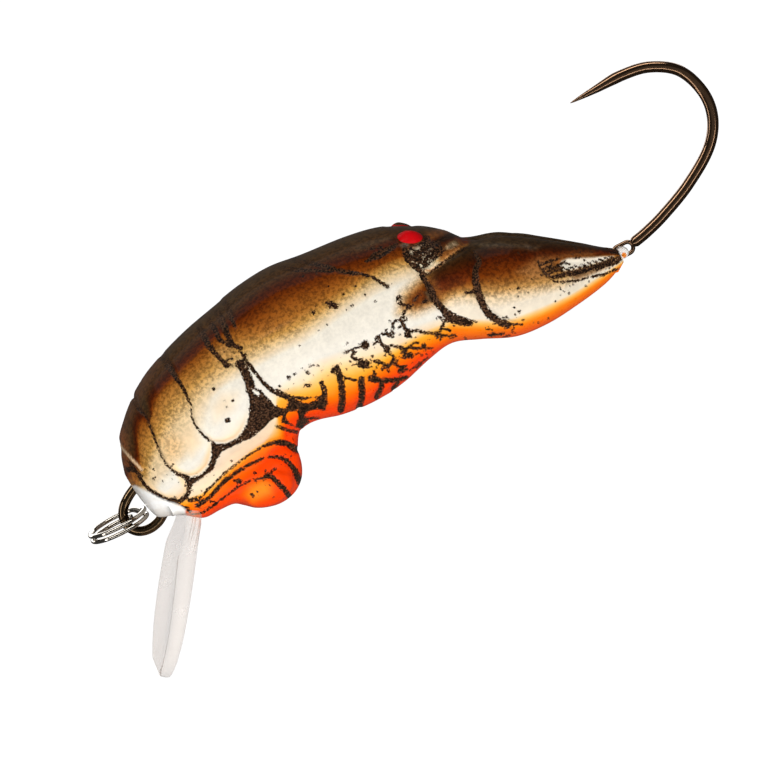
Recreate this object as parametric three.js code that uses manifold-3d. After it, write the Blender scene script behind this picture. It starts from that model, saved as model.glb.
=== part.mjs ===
// A small crayfish-shaped crankbait: a body of two moulded shells with a clear diving lip, a wire line tie with a
// split ring at the nose, a single barbless hook on a moulded peg at the claw tip, and ballast and a rattle inside.
//
// Millimetres. +X runs from the nose (the crayfish's tail, which leads in the water) back to the claws, +Z is up
// (the crayfish's back) and +Y is the lure's right. The origin is the centre of the line tie's exposed eye.

import * as THREE from "three";
import { mergeVertices } from "three/addons/utils/BufferGeometryUtils.js";
import Module from "manifold-3d";

const wasm = await Module();
wasm.setup();

// ---------------------------------------------------------------- driving dimensions
const WALL = 1.0; // thickness of the moulded shells
const SEAM_GAP = 0.03; // between the two shells, at the parting plane
const CLEARANCE = 0.06; // around a piece seated in the shells

const TIE_WIRE_R = 0.29; // line tie
const TIE_EYE_R = 1.0; // centreline radius of the exposed eye
const TIE_TRAPPED_R = 0.62; // centreline radius of the end trapped in the nose
const TIE_REACH = 2.6; // from the exposed eye back to the trapped end
const TIE_PITCH = THREE.MathUtils.degToRad(32); // how far the tie tilts up going into the nose

const RING_OUTER_R = 1.87; // split ring
const RING_WIRE_RADIAL = 0.34;
const RING_WIRE_AXIAL = 0.25;
const RING_PITCH = 0.29; // from one coil to the next
const RING_CENTRE_X = -1.42;

const LIP_ROOT = new THREE.Vector2(2.07, -1.17); // front face of the lip where it leaves the body, in XZ
const LIP_ANGLE = THREE.MathUtils.degToRad(55.9); // below the horizontal, going forward
const LIP_LENGTH = 9.5; // from the root to the rounded tip
const LIP_TONGUE = 1.5; // length seated in the body
const LIP_ROOT_HALF_WIDTH = 2.7;
const LIP_HALF_WIDTH = 4.55;
const LIP_WIDEST_AT = 5.4; // distance of the widest place from the root
const LIP_ROOT_THICKNESS = 0.9;
const LIP_TIP_THICKNESS = 0.45;

const HOOK_PIVOT = new THREE.Vector2(31.75, 0.92); // the moulded peg that the hook's eye turns on, in XZ
const PIVOT_PEG_R = 0.16;
const LUG_R = 0.42; // the two lugs that hold the peg, either side of the hook's eye
const LUG_HALF_WIDTH = 0.75;
const LUG_SLOT_HALF = 0.2;
const LUG_SLOT_R = 0.7;
const HOOK_WIRE_R = 0.34;
const HOOK_EYE_WIRE_R = 0.13;
const HOOK_EYE_R = 0.34; // centreline radius of the oblong eye's ends
const HOOK_EYE_ENDS = [31.67, 32.2]; // X of the centres of those ends
const HOOK_POINT_LENGTH = 2.7; // the tapered, barbless point

const BALLAST_R = 1.55;
const BALLAST_LENGTH = 4.2;
const BALLAST_AT = new THREE.Vector2(7.2, -1.02);
const RATTLE_BALL_R = 1.2;
const RATTLE_BORE_R = 1.3;
const RATTLE_BORE_HALF = 3.0; // half the length of the rattle's cross bore
const RATTLE_AT = new THREE.Vector2(14.6, 2.3);

const EYE_AT = new THREE.Vector3(20.95, 2.2, 7.7);
const EYE_SIZE = [0.78, 0.55, 0.5];
const EYE_TILT = 30; // degrees, down towards the claws

const LOCATING_PEGS = [new THREE.Vector2(10.8, 6.8), new THREE.Vector2(20.4, 4.4)];
const LOCATING_PEG_R = 0.5;
const LOCATING_PEG_LENGTH = 1.0;
const LOCATING_BOSS_R = 1.1;

// The body's outline in XZ, and its half-widths along X, each as [x, value].
const BACK_LINE = [
  [0.22, 2.5], [0.5, 3.59], [1.0, 4.58], [2.0, 5.81], [3.5, 6.99], [5.0, 7.7], [7.0, 8.39], [9.0, 8.88],
  [11.0, 9.31], [13.0, 9.49], [15.0, 9.27], [18.0, 9.01], [20.0, 8.58], [22.0, 7.8], [23.1, 7.03], [24.0, 6.11],
  [26.0, 5.26], [28.0, 3.89], [30.0, 2.47], [31.0, 1.58], [31.6, 1.17],
];
const BELLY_LINE = [
  [0.22, 2.34], [0.36, 1.32], [0.58, 0.2], [0.75, -0.46], [1.1, -0.87], [2.0, -1.12], [3.1, -1.99], [4.2, -1.97],
  [5.4, -2.34], [7.0, -3.3], [8.5, -3.08], [9.35, -2.14], [9.85, -0.81], [10.6, 0.15], [11.5, 0.18], [13.0, -0.2],
  [15.0, -0.37], [17.0, -0.16], [19.0, 0.39], [20.5, 0.61], [22.0, 0.08], [24.0, -0.75], [26.0, -0.94],
  [28.0, -0.77], [30.0, -0.45], [31.0, -0.1], [31.6, 0.31],
];
const HALF_WIDTHS = [
  [0.22, 0.3], [0.5, 1.55], [1.0, 2.35], [2.0, 3.2], [3.5, 3.9], [6.0, 4.35], [9.0, 4.65], [13.0, 4.75],
  [17.0, 4.4], [20.5, 3.85], [23.0, 3.8], [25.0, 3.7], [27.0, 3.2], [29.0, 2.3], [30.5, 1.4], [31.6, 0.7],
];
// The crayfish's tail is curled under the front of the body: where its root lies, and its own half-widths.
const TAIL_ROOT_LINE = [[1.4, -0.97], [3.0, -0.76], [6.0, -0.1], [9.0, 0.1], [10.6, 0.15]];
const TAIL_HALF_WIDTHS = [[1.4, 1.9], [3.0, 2.9], [6.0, 3.1], [8.0, 2.75], [9.3, 2.1], [10.6, 0.9]];
const TAIL_ROUNDING = 1.2; // how far the tail's own section reaches up past its root

const CLAW_CLEFT_DEPTH = 0.55; // the cleft between the two claws, on the back
const CLAW_CLEFT_HALF = 0.6;
const CLAW_CLEFT_FROM = 23.2;

const SECTIONS = 44; // along the body
const SECTION_STEPS = 11; // from belly to back on one side

// ---------------------------------------------------------------- helpers
const clamp01 = (v) => Math.min(1, Math.max(0, v));

function smoothStep(low, high, v) {
  const t = clamp01((v - low) / (high - low));
  return t * t * (3 - 2 * t);
}

// The height at x of a smooth line through a list of [x, value] points.
function lineAt(line, x) {
  const last = line.length - 1;
  if (x <= line[0][0]) return line[0][1];
  if (x >= line[last][0]) return line[last][1];
  const i = line.findIndex((point) => point[0] > x) - 1;
  const slope = (a, b) => (line[b][1] - line[a][1]) / (line[b][0] - line[a][0]);
  const span = line[i + 1][0] - line[i][0];
  const startSlope = slope(Math.max(0, i - 1), i + 1);
  const endSlope = slope(i, Math.min(last, i + 2));
  const t = (x - line[i][0]) / span;
  const eased = t * t * (3 - 2 * t);
  const bend = (t - 2 * t * t + t ** 3) * startSlope + (t ** 3 - t * t) * endSlope;
  return line[i][1] * (1 - eased) + line[i + 1][1] * eased + bend * span;
}

function indexed(positions, triangles) {
  const geometry = new THREE.BufferGeometry();
  geometry.setAttribute("position", new THREE.Float32BufferAttribute(positions, 3));
  geometry.setIndex(triangles);
  return geometry;
}

function toSolid(geometry) {
  const bare = geometry.clone();
  bare.deleteAttribute("normal");
  bare.deleteAttribute("uv");
  const merged = mergeVertices(bare, 1e-4);
  const mesh = new wasm.Mesh({
    numProp: 3,
    vertProperties: new Float32Array(merged.attributes.position.array),
    triVerts: new Uint32Array(merged.index.array),
  });
  return new wasm.Manifold(mesh);
}

function toGeometry(solid) {
  const mesh = solid.getMesh();
  const positions = [];
  for (let i = 0; i < mesh.numVert; i++) {
    const start = i * mesh.numProp;
    positions.push(...mesh.vertProperties.subarray(start, start + 3));
  }
  return indexed(positions, Array.from(mesh.triVerts)).toNonIndexed();
}

// A closed skin over rings of points that all hold the same count, each going anticlockwise about the way forward.
// It has a fan over each end, unless the last ring joins the first.
function skin(rings, closed = false) {
  const count = rings[0].length;
  const positions = rings.flat().flatMap((p) => [p.x, p.y, p.z]);
  const triangles = [];
  const spans = closed ? rings.length : rings.length - 1;
  for (let i = 0; i < spans; i++) {
    const next = (i + 1) % rings.length;
    for (let j = 0; j < count; j++) {
      const a = i * count + j;
      const b = i * count + ((j + 1) % count);
      const c = next * count + j;
      const d = next * count + ((j + 1) % count);
      triangles.push(a, b, c, b, d, c);
    }
  }
  const ends = closed ? [] : [0, rings.length - 1];
  for (const ring of ends) {
    const centre = new THREE.Vector3();
    rings[ring].forEach((p) => centre.addScaledVector(p, 1 / count));
    const hub = positions.length / 3;
    positions.push(centre.x, centre.y, centre.z);
    for (let j = 0; j < count; j++) {
      const a = ring * count + j;
      const b = ring * count + ((j + 1) % count);
      triangles.push(hub, ring === 0 ? b : a, ring === 0 ? a : b);
    }
  }
  return indexed(positions, triangles);
}

// A solid wire along a curve. halfSizesAt(t) gives its half-sizes in the plane of the bend and across that plane.
function wire(curve, steps, sides, halfSizesAt, bendNormal, closed = false) {
  const rings = [];
  const count = closed ? steps : steps + 1;
  for (let i = 0; i < count; i++) {
    const t = i / steps;
    const centre = curve.getPoint(t);
    const along = curve.getTangent(t);
    const inPlane = new THREE.Vector3().crossVectors(bendNormal, along).normalize();
    const across = new THREE.Vector3().crossVectors(along, inPlane).normalize();
    const [inPlaneHalf, acrossHalf] = halfSizesAt(t);
    const ring = [];
    for (let j = 0; j < sides; j++) {
      const angle = (j / sides) * 2 * Math.PI;
      const p = centre.clone();
      p.addScaledVector(inPlane, inPlaneHalf * Math.cos(angle));
      p.addScaledVector(across, acrossHalf * Math.sin(angle));
      ring.push(p);
    }
    rings.push(ring);
  }
  return skin(rings, closed);
}

// A cylinder lying across the lure, centred at a place in XZ, from one Y to another.
function crossCylinder(radius, at, fromY, toY, sides = 20) {
  const geometry = new THREE.CylinderGeometry(radius, radius, toY - fromY, sides);
  return toSolid(geometry).translate([at.x, (fromY + toY) / 2, at.y]);
}

function boxBetween(low, high) {
  const size = high.map((v, i) => v - low[i]);
  const centre = high.map((v, i) => (v + low[i]) / 2);
  return toSolid(new THREE.BoxGeometry(...size)).translate(centre);
}

function mesh(name, geometry, colour, roughness, metalness) {
  const material = new THREE.MeshStandardMaterial({ color: colour, roughness, metalness });
  const made = new THREE.Mesh(geometry, material);
  made.name = name;
  return made;
}

// ---------------------------------------------------------------- body form
const TAIL_TO = TAIL_ROOT_LINE[TAIL_ROOT_LINE.length - 1][0];

// Half-width of the body at a height z in the section at x.
function halfWidthAt(x, z) {
  const bottom = lineAt(BELLY_LINE, x);
  const top = lineAt(BACK_LINE, x);
  const curled = x > TAIL_ROOT_LINE[0][0] && x < TAIL_TO;
  const floor = curled ? Math.max(bottom, lineAt(TAIL_ROOT_LINE, x)) : bottom;
  const level = clamp01((z - floor) / (top - floor)) * 2 - 1;
  const main = lineAt(HALF_WIDTHS, x) * Math.pow(Math.max(0, 1 - level * level), 0.46);
  if (floor <= bottom + 0.01) return main;
  const tailTop = floor + TAIL_ROUNDING;
  const tailLevel = clamp01((z - bottom) / (tailTop - bottom)) * 2 - 1;
  const tail = lineAt(TAIL_HALF_WIDTHS, x) * Math.pow(Math.max(0, 1 - tailLevel * tailLevel), 0.5);
  return Math.pow(main ** 4 + tail ** 4, 0.25);
}

// One closed ring of the body at x, or of the hollow inside it when inset is the wall's thickness.
function bodyRing(x, inset, steps) {
  const bottom = lineAt(BELLY_LINE, x) + inset;
  const top = lineAt(BACK_LINE, x) - inset;
  const cleft = CLAW_CLEFT_DEPTH * smoothStep(CLAW_CLEFT_FROM, CLAW_CLEFT_FROM + 2, x) * smoothStep(31.2, 29, x);
  const side = [];
  for (let j = 0; j <= steps; j++) {
    const rise = (1 - Math.cos((j / steps) * Math.PI)) / 2;
    const z = bottom + (top - bottom) * rise;
    const onMiddle = j === 0 || j === steps;
    const y = onMiddle ? 0 : Math.max(0.05, halfWidthAt(x, z) - inset);
    const dip = cleft * Math.exp(-((y / CLAW_CLEFT_HALF) ** 2)) * smoothStep(0.6, 0.95, rise);
    side.push(new THREE.Vector3(x, y, z - dip));
  }
  const otherSide = side.slice(1, -1).reverse();
  return [...side, ...otherSide.map((p) => new THREE.Vector3(p.x, -p.y, p.z))];
}

function bodyLoft(fromX, toX, sections, inset, steps) {
  const rings = [];
  for (let i = 0; i <= sections; i++) {
    const share = i / sections;
    rings.push(bodyRing(fromX + (toX - fromX) * Math.pow(share, 1.35), inset, steps));
  }
  return toSolid(skin(rings));
}

// ---------------------------------------------------------------- wire links
// A closed wire link in the XZ plane: a round end about each of two centres, joined by straight runs.
function linkCurve(a, radiusA, b, radiusB) {
  const way = b.clone().sub(a);
  const heading = way.angle();
  const side = Math.acos((radiusA - radiusB) / way.length());
  const points = [];
  const addArc = (centre, radius, from, to) => {
    for (let i = 0; i <= 10; i++) {
      const angle = heading + from + ((to - from) * i) / 10;
      points.push(new THREE.Vector3(centre.x + radius * Math.cos(angle), 0, centre.y + radius * Math.sin(angle)));
    }
  };
  addArc(a, radiusA, side, 2 * Math.PI - side);
  addArc(b, radiusB, -side, side);
  return new THREE.CatmullRomCurve3(points, true, "centripetal");
}

const ALONG_Y = new THREE.Vector3(0, 1, 0);
const tieTrapped = new THREE.Vector2(Math.cos(TIE_PITCH), Math.sin(TIE_PITCH)).multiplyScalar(TIE_REACH);
const tieCurve = linkCurve(new THREE.Vector2(0, 0), TIE_EYE_R, tieTrapped, TIE_TRAPPED_R);

function lineTie(grow) {
  const halfSizes = [TIE_WIRE_R + grow, TIE_WIRE_R + grow];
  return wire(tieCurve, 36, 8, () => halfSizes, ALONG_Y, true);
}

// ---------------------------------------------------------------- diving lip
// Half-width of the lip at a distance a from its root. The tongue behind the root is straight.
function lipHalfWidth(a) {
  if (a < 0) return LIP_ROOT_HALF_WIDTH;
  const swell = LIP_HALF_WIDTH - LIP_ROOT_HALF_WIDTH;
  if (a < LIP_WIDEST_AT) return LIP_ROOT_HALF_WIDTH + swell * Math.sin((a / LIP_WIDEST_AT) * (Math.PI / 2));
  const share = clamp01((a - LIP_WIDEST_AT) / (LIP_LENGTH - LIP_WIDEST_AT));
  return LIP_HALF_WIDTH * Math.pow(1 - share ** 2.2, 0.5);
}

function lipThickness(a) {
  return LIP_ROOT_THICKNESS + (LIP_TIP_THICKNESS - LIP_ROOT_THICKNESS) * clamp01(a / LIP_LENGTH);
}

function lipSolid(grow) {
  const along = new THREE.Vector3(-Math.cos(LIP_ANGLE), 0, -Math.sin(LIP_ANGLE));
  const rearward = new THREE.Vector3(Math.sin(LIP_ANGLE), 0, -Math.cos(LIP_ANGLE));
  const root = new THREE.Vector3(LIP_ROOT.x, 0, LIP_ROOT.y);
  const stations = 22;
  const edge = [];
  for (let i = 0; i <= stations; i++) {
    const a = -LIP_TONGUE + (LIP_LENGTH + LIP_TONGUE) * Math.sin((i / stations) * (Math.PI / 2));
    const stretched = i === 0 ? a - grow : a;
    edge.push([stretched, Math.max(lipHalfWidth(a), 0.4) + grow]);
  }
  const outline = [...edge, ...edge.map(([a, y]) => [a, -y]).reverse()];
  const face = (depthAt) =>
    outline.map(([a, y]) => {
      const p = root.clone().addScaledVector(along, a).addScaledVector(rearward, depthAt(a));
      return p.setY(y);
    });
  const front = face(() => -grow);
  const rear = face((a) => lipThickness(a) + grow);
  const count = outline.length;
  const positions = [...front, ...rear].flatMap((p) => [p.x, p.y, p.z]);
  const triangles = [];
  for (let j = 0; j < count; j++) {
    const next = (j + 1) % count;
    triangles.push(j, count + j, next, next, count + j, count + next);
  }
  for (let j = 0; j < stations; j++) {
    const a = j;
    const b = j + 1;
    const c = count - 1 - j;
    const d = count - 2 - j;
    triangles.push(a, b, c, b, d, c);
    triangles.push(count + a, count + c, count + b, count + b, count + c, count + d);
  }
  return toSolid(indexed(positions, triangles));
}

// ---------------------------------------------------------------- shells
function paintedEyeBumps() {
  const ball = toSolid(new THREE.SphereGeometry(1, 16, 10));
  const oval = ball.scale(EYE_SIZE).rotate([0, EYE_TILT, 0]);
  return [1, -1].map((side) => oval.translate([EYE_AT.x, side * EYE_AT.y, EYE_AT.z]));
}

// The body before it is parted into its two shells, with a seat for each piece that it holds.
function bodyBlank() {
  let outside = bodyLoft(BACK_LINE[0][0], BACK_LINE[BACK_LINE.length - 1][0], SECTIONS, 0, SECTION_STEPS);
  for (const bump of paintedEyeBumps()) outside = outside.add(bump);
  outside = outside.add(crossCylinder(LUG_R, HOOK_PIVOT, -LUG_HALF_WIDTH, LUG_HALF_WIDTH));

  const wide = 12;
  let hollow = bodyLoft(4.6, 26.5, 18, WALL, 7);
  hollow = hollow.subtract(boxBetween([0, -wide, -wide], [10.6, wide, 1.6]));
  hollow = hollow.subtract(crossCylinder(RATTLE_BORE_R + 0.7, RATTLE_AT, -wide, wide));
  for (const at of LOCATING_PEGS) hollow = hollow.subtract(crossCylinder(LOCATING_BOSS_R, at, -wide, wide, 16));

  const ballastHalf = BALLAST_LENGTH / 2 + CLEARANCE;
  return outside
    .subtract(hollow)
    .subtract(crossCylinder(RATTLE_BORE_R, RATTLE_AT, -RATTLE_BORE_HALF, RATTLE_BORE_HALF))
    .subtract(crossCylinder(BALLAST_R + CLEARANCE, BALLAST_AT, -ballastHalf, ballastHalf))
    .subtract(lipSolid(CLEARANCE))
    .subtract(toSolid(lineTie(CLEARANCE)))
    .subtract(crossCylinder(LUG_SLOT_R, HOOK_PIVOT, -LUG_SLOT_HALF, LUG_SLOT_HALF));
}

// The left and right shells. The pegs stand on the left one, and the sockets for them are in the right one.
function shells() {
  const blank = bodyBlank();
  const far = 60;
  const edge = SEAM_GAP / 2;
  let left = blank.intersect(boxBetween([-far, -far, -far], [far, -edge, far]));
  let right = blank.intersect(boxBetween([-far, edge, -far], [far, far, far]));
  const pegs = LOCATING_PEGS.map((at) => [at, LOCATING_PEG_R, LOCATING_PEG_LENGTH, -0.3]);
  pegs.push([HOOK_PIVOT, PIVOT_PEG_R, 0.55, -0.3]);
  for (const [at, radius, length, fromY] of pegs) {
    left = left.add(crossCylinder(radius, at, fromY, length, 16));
    right = right.subtract(crossCylinder(radius + CLEARANCE, at, -0.1, length + 0.1, 16));
  }
  return [left, right];
}

// ---------------------------------------------------------------- split ring
class SplitRingCurve extends THREE.Curve {
  // Two flat coils, stacked, with one step from the lower to the upper at the ring's forward side.
  getPoint(t, target = new THREE.Vector3()) {
    const stepLength = 0.7;
    const turn = t * (4 * Math.PI - stepLength - 0.12);
    const rise = smoothStep(2 * Math.PI - stepLength, 2 * Math.PI - 0.08, turn);
    const radius = RING_OUTER_R - RING_WIRE_RADIAL / 2;
    const angle = turn + Math.PI;
    const height = (rise - 0.5) * RING_PITCH;
    return target.set(RING_CENTRE_X + radius * Math.cos(angle), radius * Math.sin(angle), height);
  }
}

function splitRing() {
  const halfSizes = [RING_WIRE_RADIAL / 2, RING_WIRE_AXIAL / 2];
  return wire(new SplitRingCurve(), 72, 8, () => halfSizes, new THREE.Vector3(0, 0, 1));
}

// ---------------------------------------------------------------- hook
const HOOK_BEND = [
  [32.5, 1.01], [33.6, 1.26], [35.0, 1.73], [37.0, 2.65], [39.0, 4.02], [39.97, 5.5], [40.11, 7.13],
  [39.4, 8.86], [37.9, 9.86], [36.2, 10.16], [34.4, 10.11], [32.85, 10.06],
].map(([x, z]) => new THREE.Vector3(x, 0, z));

function hook() {
  const curve = new THREE.CatmullRomCurve3(HOOK_BEND, false, "centripetal");
  const length = curve.getLength();
  const evenly = new THREE.CatmullRomCurve3(curve.getSpacedPoints(48), false, "centripetal");
  const halfSizesAt = (t) => {
    const fromPoint = (1 - t) * length;
    const fromEye = t * length;
    const point = Math.min(1, 0.06 + 0.94 * Math.sqrt(fromPoint / HOOK_POINT_LENGTH));
    const shoulder = Math.min(1, 0.6 + fromEye / 0.6);
    return [HOOK_WIRE_R * point * shoulder, HOOK_WIRE_R * point * shoulder];
  };
  const bend = toSolid(wire(evenly, 48, 8, halfSizesAt, ALONG_Y));

  const [front, rear] = HOOK_EYE_ENDS.map((x) => new THREE.Vector2(x, HOOK_PIVOT.y + 0.02));
  const eyeSizes = [HOOK_EYE_WIRE_R, HOOK_EYE_WIRE_R];
  const eye = toSolid(wire(linkCurve(front, HOOK_EYE_R, rear, HOOK_EYE_R), 28, 8, () => eyeSizes, ALONG_Y, true));
  return bend.add(eye);
}

// ---------------------------------------------------------------- assembly
const lure = new THREE.Group();
const [leftShell, rightShell] = shells();
const ballastHalf = BALLAST_LENGTH / 2;
const ballast = crossCylinder(BALLAST_R, BALLAST_AT, -ballastHalf, ballastHalf, 24);
const rattleBall = new THREE.SphereGeometry(RATTLE_BALL_R, 18, 12).translate(RATTLE_AT.x, 0, RATTLE_AT.y);

lure.add(
  mesh("left_shell", toGeometry(leftShell), 0xb58a5a, 0.25, 0),
  mesh("right_shell", toGeometry(rightShell), 0xb58a5a, 0.25, 0),
  mesh("diving_lip", toGeometry(lipSolid(0)), 0xe9e6e2, 0.15, 0),
  mesh("line_tie", lineTie(0), 0x3a3128, 0.25, 1),
  mesh("ballast_weight", toGeometry(ballast), 0x8d8f94, 0.5, 1),
  mesh("rattle_ball", rattleBall, 0xc8c8cc, 0.15, 1),
  mesh("split_ring", splitRing(), 0xc9c4b8, 0.2, 1),
  mesh("hook", toGeometry(hook()), 0x3b2f25, 0.2, 1),
);

export default lure;
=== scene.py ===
"""The looks of a small crayfish-shaped crankbait lure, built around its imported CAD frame.

Shapes are worked out in millimetres and scaled to metres when a mesh is made. +X runs from the nose back to
the hook, +Z is up and the camera looks at the lure's left side, -Y. Marks and relief on the body are drawn in
the side view's own plane, as (x, z) places that are the same for both sides of the lure.
"""

import math

import bpy
import numpy as np
from mathutils import Matrix, Vector


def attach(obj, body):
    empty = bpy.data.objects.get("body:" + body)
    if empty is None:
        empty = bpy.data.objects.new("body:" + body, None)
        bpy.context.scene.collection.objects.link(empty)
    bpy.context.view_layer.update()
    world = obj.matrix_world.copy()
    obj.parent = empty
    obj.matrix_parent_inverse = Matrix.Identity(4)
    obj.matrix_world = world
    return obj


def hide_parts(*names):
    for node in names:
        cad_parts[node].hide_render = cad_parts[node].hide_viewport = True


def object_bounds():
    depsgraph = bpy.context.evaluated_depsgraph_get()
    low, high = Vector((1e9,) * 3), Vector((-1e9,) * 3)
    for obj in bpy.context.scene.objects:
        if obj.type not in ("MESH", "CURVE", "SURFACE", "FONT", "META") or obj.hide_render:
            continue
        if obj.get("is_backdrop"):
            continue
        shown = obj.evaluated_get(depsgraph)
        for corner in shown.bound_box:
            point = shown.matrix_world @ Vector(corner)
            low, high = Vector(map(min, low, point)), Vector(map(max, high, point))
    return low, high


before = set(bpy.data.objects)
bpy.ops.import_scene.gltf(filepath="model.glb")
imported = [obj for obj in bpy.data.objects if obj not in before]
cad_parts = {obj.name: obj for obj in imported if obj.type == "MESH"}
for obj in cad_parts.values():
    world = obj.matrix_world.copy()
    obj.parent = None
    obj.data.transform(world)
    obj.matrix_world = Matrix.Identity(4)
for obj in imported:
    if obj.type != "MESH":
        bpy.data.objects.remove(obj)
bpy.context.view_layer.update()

MM = 0.001

# ---------------- the camera's angle
VIEW_AZIMUTH = math.radians(-3.6)
VIEW_ELEVATION = math.radians(11)
VIEW_ROLL = math.radians(26.3)  # the nose hangs down to the left
VIEW_CENTRE = (15.83, 0.79)  # what the middle of the picture shows, across and up from the line tie
VIEW_WIDTH = 43.93
LENS = 250
SENSOR = 36


# ---------------- readers for the tables below
# Places (x z x z ...), widths and radii are in hundredths of a millimetre, and colours go from 0 to 255. In a
# table with rows, each row ends in ";" and ":" stands between its fields.
def numbers(size, text):
    """The text's numbers in groups of a size: 2 for places, 3 for dots."""
    values = [int(word) / 100 for word in text.split()]
    return list(zip(*(values[i::size] for i in range(size))))


def rows(text):
    return [row.split(":") for row in text.split(";") if row.strip()]


def strokes(text):
    """Brush strokes as (width, points). A table gives a width as one number, or as start-end."""
    return [([int(w) / 100 for w in width.split("-")], numbers(2, line)) for width, line in rows(text)]


def outlines(text):
    return [numbers(2, points) for points, in rows(text)]


def colour_of(text):
    return tuple(int(word) for word in text.split())


def levels(text):
    """Paint levels as (line, colour)."""
    return [(numbers(2, line), colour_of(colour)) for colour, line in rows(text)]


def tints(text):
    """Tinted patches as (outline, colour, (how far the edge fades, strength))."""
    return [(numbers(2, line), colour_of(colour), numbers(2, fade)[0]) for colour, fade, line in rows(text)]


# ---------------- body form, as in the CAD model
BACK_LINE = numbers(2, """
    22 250 50 359 100 458 200 581 350 699 500 770 700 839 900 888 1100 931 1300 949 1500 927 1800 901
    2000 858 2200 760 2310 677 2390 596 2600 526 2800 389 3000 247 3100 158 3160 117
""")
BELLY_LINE = numbers(2, """
    22 220 28 140 42 50 54 -10 72 -62 110 -85 200 -112 310 -187 420 -190 505 -197 550 -232 600 -274 670 -308
    750 -324 830 -314 890 -285 940 -235 970 -170 986 -95 1020 -25 1060 15 1150 18 1300 -20 1500 -37
    1700 -16 1900 39 2050 61 2200 8 2400 -75 2600 -94 2800 -77 3000 -45 3100 -10 3160 31
""")
HALF_WIDTHS = numbers(2, """
    22 30 50 155 100 235 200 320 350 385 600 425 900 450 1300 458 1700 430 2050 375 2300 370 2500 365
    2700 315 2900 225 3050 140 3160 70
""")
TAIL_ROOT_LINE = numbers(2, "140 -97 300 -76 600 -10 900 10 1060 15")
TAIL_HALF_WIDTHS = numbers(2, "140 190 300 290 600 310 800 275 930 210 1060 90")
TAIL_ROUNDING = 1.2
TAIL_END = 9.6
BODY_FULLNESS = 0.46  # the power of the body's section: an ellipse has 0.5, and less is fuller
CLAW_CLEFT = (23.2, 0.55, 0.6)  # where it starts, its depth and its half-width
CLEFT_ROOM = 0.6  # how far the inside is lowered under it
SEAM = 0.003  # from the middle plane to each shell
THINNEST = 0.002  # how far the skin stands off the seam at the least
WALL = 1.0
HOLLOW = ((4.6, 5.0), (26.5, 26.0))  # the x where it opens and where it closes
SOLID_NOSE = (10.6, 1.6)  # no hollow in front of this x below this z
RATTLE_WALL = 0.7

COLUMNS = 340  # of the painted skin, along the body
ROWS = 176  # from belly to back on one side
INNER_ROWS = 52

HOOK_PIVOT = (31.75, 0.92)
LUG_R = 0.36
LUG_SLOT = 0.2  # half-width of the slot that the hook's eye turns in
LUG_HALF_WIDTH = 0.75
BALLAST = (7.2, -1.02, 1.55, 2.1)  # x, z, radius and half-length
RATTLE = (14.6, 2.3, 1.6, 3.1)  # the ball's cross bore, in the same way
RATTLE_BALL_R = 1.2
LOCATING_PEGS = numbers(2, "1080 680 2040 440")
PEG_R, PEG_LENGTH = 0.5, 1.0
SOCKET_R, SOCKET_DEPTH = 0.56, 1.1
BOSS_R = 1.1  # the solid wall round each peg and socket
CLEARANCE = 0.06  # between the shells and what sits in them

LIP_ROOT = (2.07, -1.17)
LIP_ANGLE = math.radians(55.9)
LIP_LENGTH = 9.5
LIP_TONGUE = 1.5
LIP_ROOT_HALF_WIDTH = 2.7
LIP_HALF_WIDTH = 4.5
LIP_WIDEST_AT = 5.4
LIP_THICKNESS = (0.9, 0.45)
LIP_RIM = 0.3  # how far the edges stand up on the front face

FAR = 1.0  # distances to marks are only worked out this far


# ---------------- small maths
def smooth_step(low, high, value):
    share = np.clip((value - low) / (high - low), 0, 1)
    return share * share * (3 - 2 * share)


def line_at(points, x):
    """Height at x of a smooth line through (x, value) points."""
    xs, values = np.array(points, float).T
    slopes = np.empty(len(xs))
    slopes[1:-1] = (values[2:] - values[:-2]) / (xs[2:] - xs[:-2])
    slopes[0] = (values[1] - values[0]) / (xs[1] - xs[0])
    slopes[-1] = (values[-1] - values[-2]) / (xs[-1] - xs[-2])
    x = np.clip(x, xs[0], xs[-1])
    i = np.clip(np.searchsorted(xs, x, side="right") - 1, 0, len(xs) - 2)
    span = xs[i + 1] - xs[i]
    t = (x - xs[i]) / span
    eased = t * t * (3 - 2 * t)
    bend = (t - 2 * t * t + t**3) * slopes[i] + (t**3 - t * t) * slopes[i + 1]
    return values[i] * (1 - eased) + values[i + 1] * eased + bend * span


def smooth_path(points, per_span=5):
    """A curve through the points, as a denser list."""
    points = np.array(points, float)
    if len(points) < 3:
        return points
    chord = np.r_[0, np.cumsum(np.sqrt(np.linalg.norm(np.diff(points, axis=0), axis=1)))]
    last = len(points) - 1
    at = np.interp(np.linspace(0, last, last * per_span + 1), range(last + 1), chord)
    columns = [line_at(list(zip(chord, column)), at) for column in points.T]
    return np.stack(columns, axis=1)


# ---------------- distances to marks
def stroke_distance(place, points, width, smooth=True):
    """Distance of each place to a stroke's edge, below 0 in it. width is [all along] or [start, end]."""
    path = smooth_path(points) if smooth else np.array(points, float)
    halves = np.linspace(width[0], width[-1], len(path)) / 2
    low = path.min(0) - FAR
    high = path.max(0) + FAR
    near = np.all((place > low) & (place < high), axis=1)
    p = place[near]
    best = np.full(len(p), FAR)
    for a, b, half_a, half_b in zip(path, path[1:], halves, halves[1:]):
        ab = b - a
        t = np.clip(((p - a) @ ab) / max(ab @ ab, 1e-9), 0, 1)
        offset = p - a - t[:, None] * ab
        best = np.minimum(best, np.hypot(offset[:, 0], offset[:, 1]) - half_a - (half_b - half_a) * t)
    found = np.full(len(place), FAR)
    found[near] = best
    return found


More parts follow.
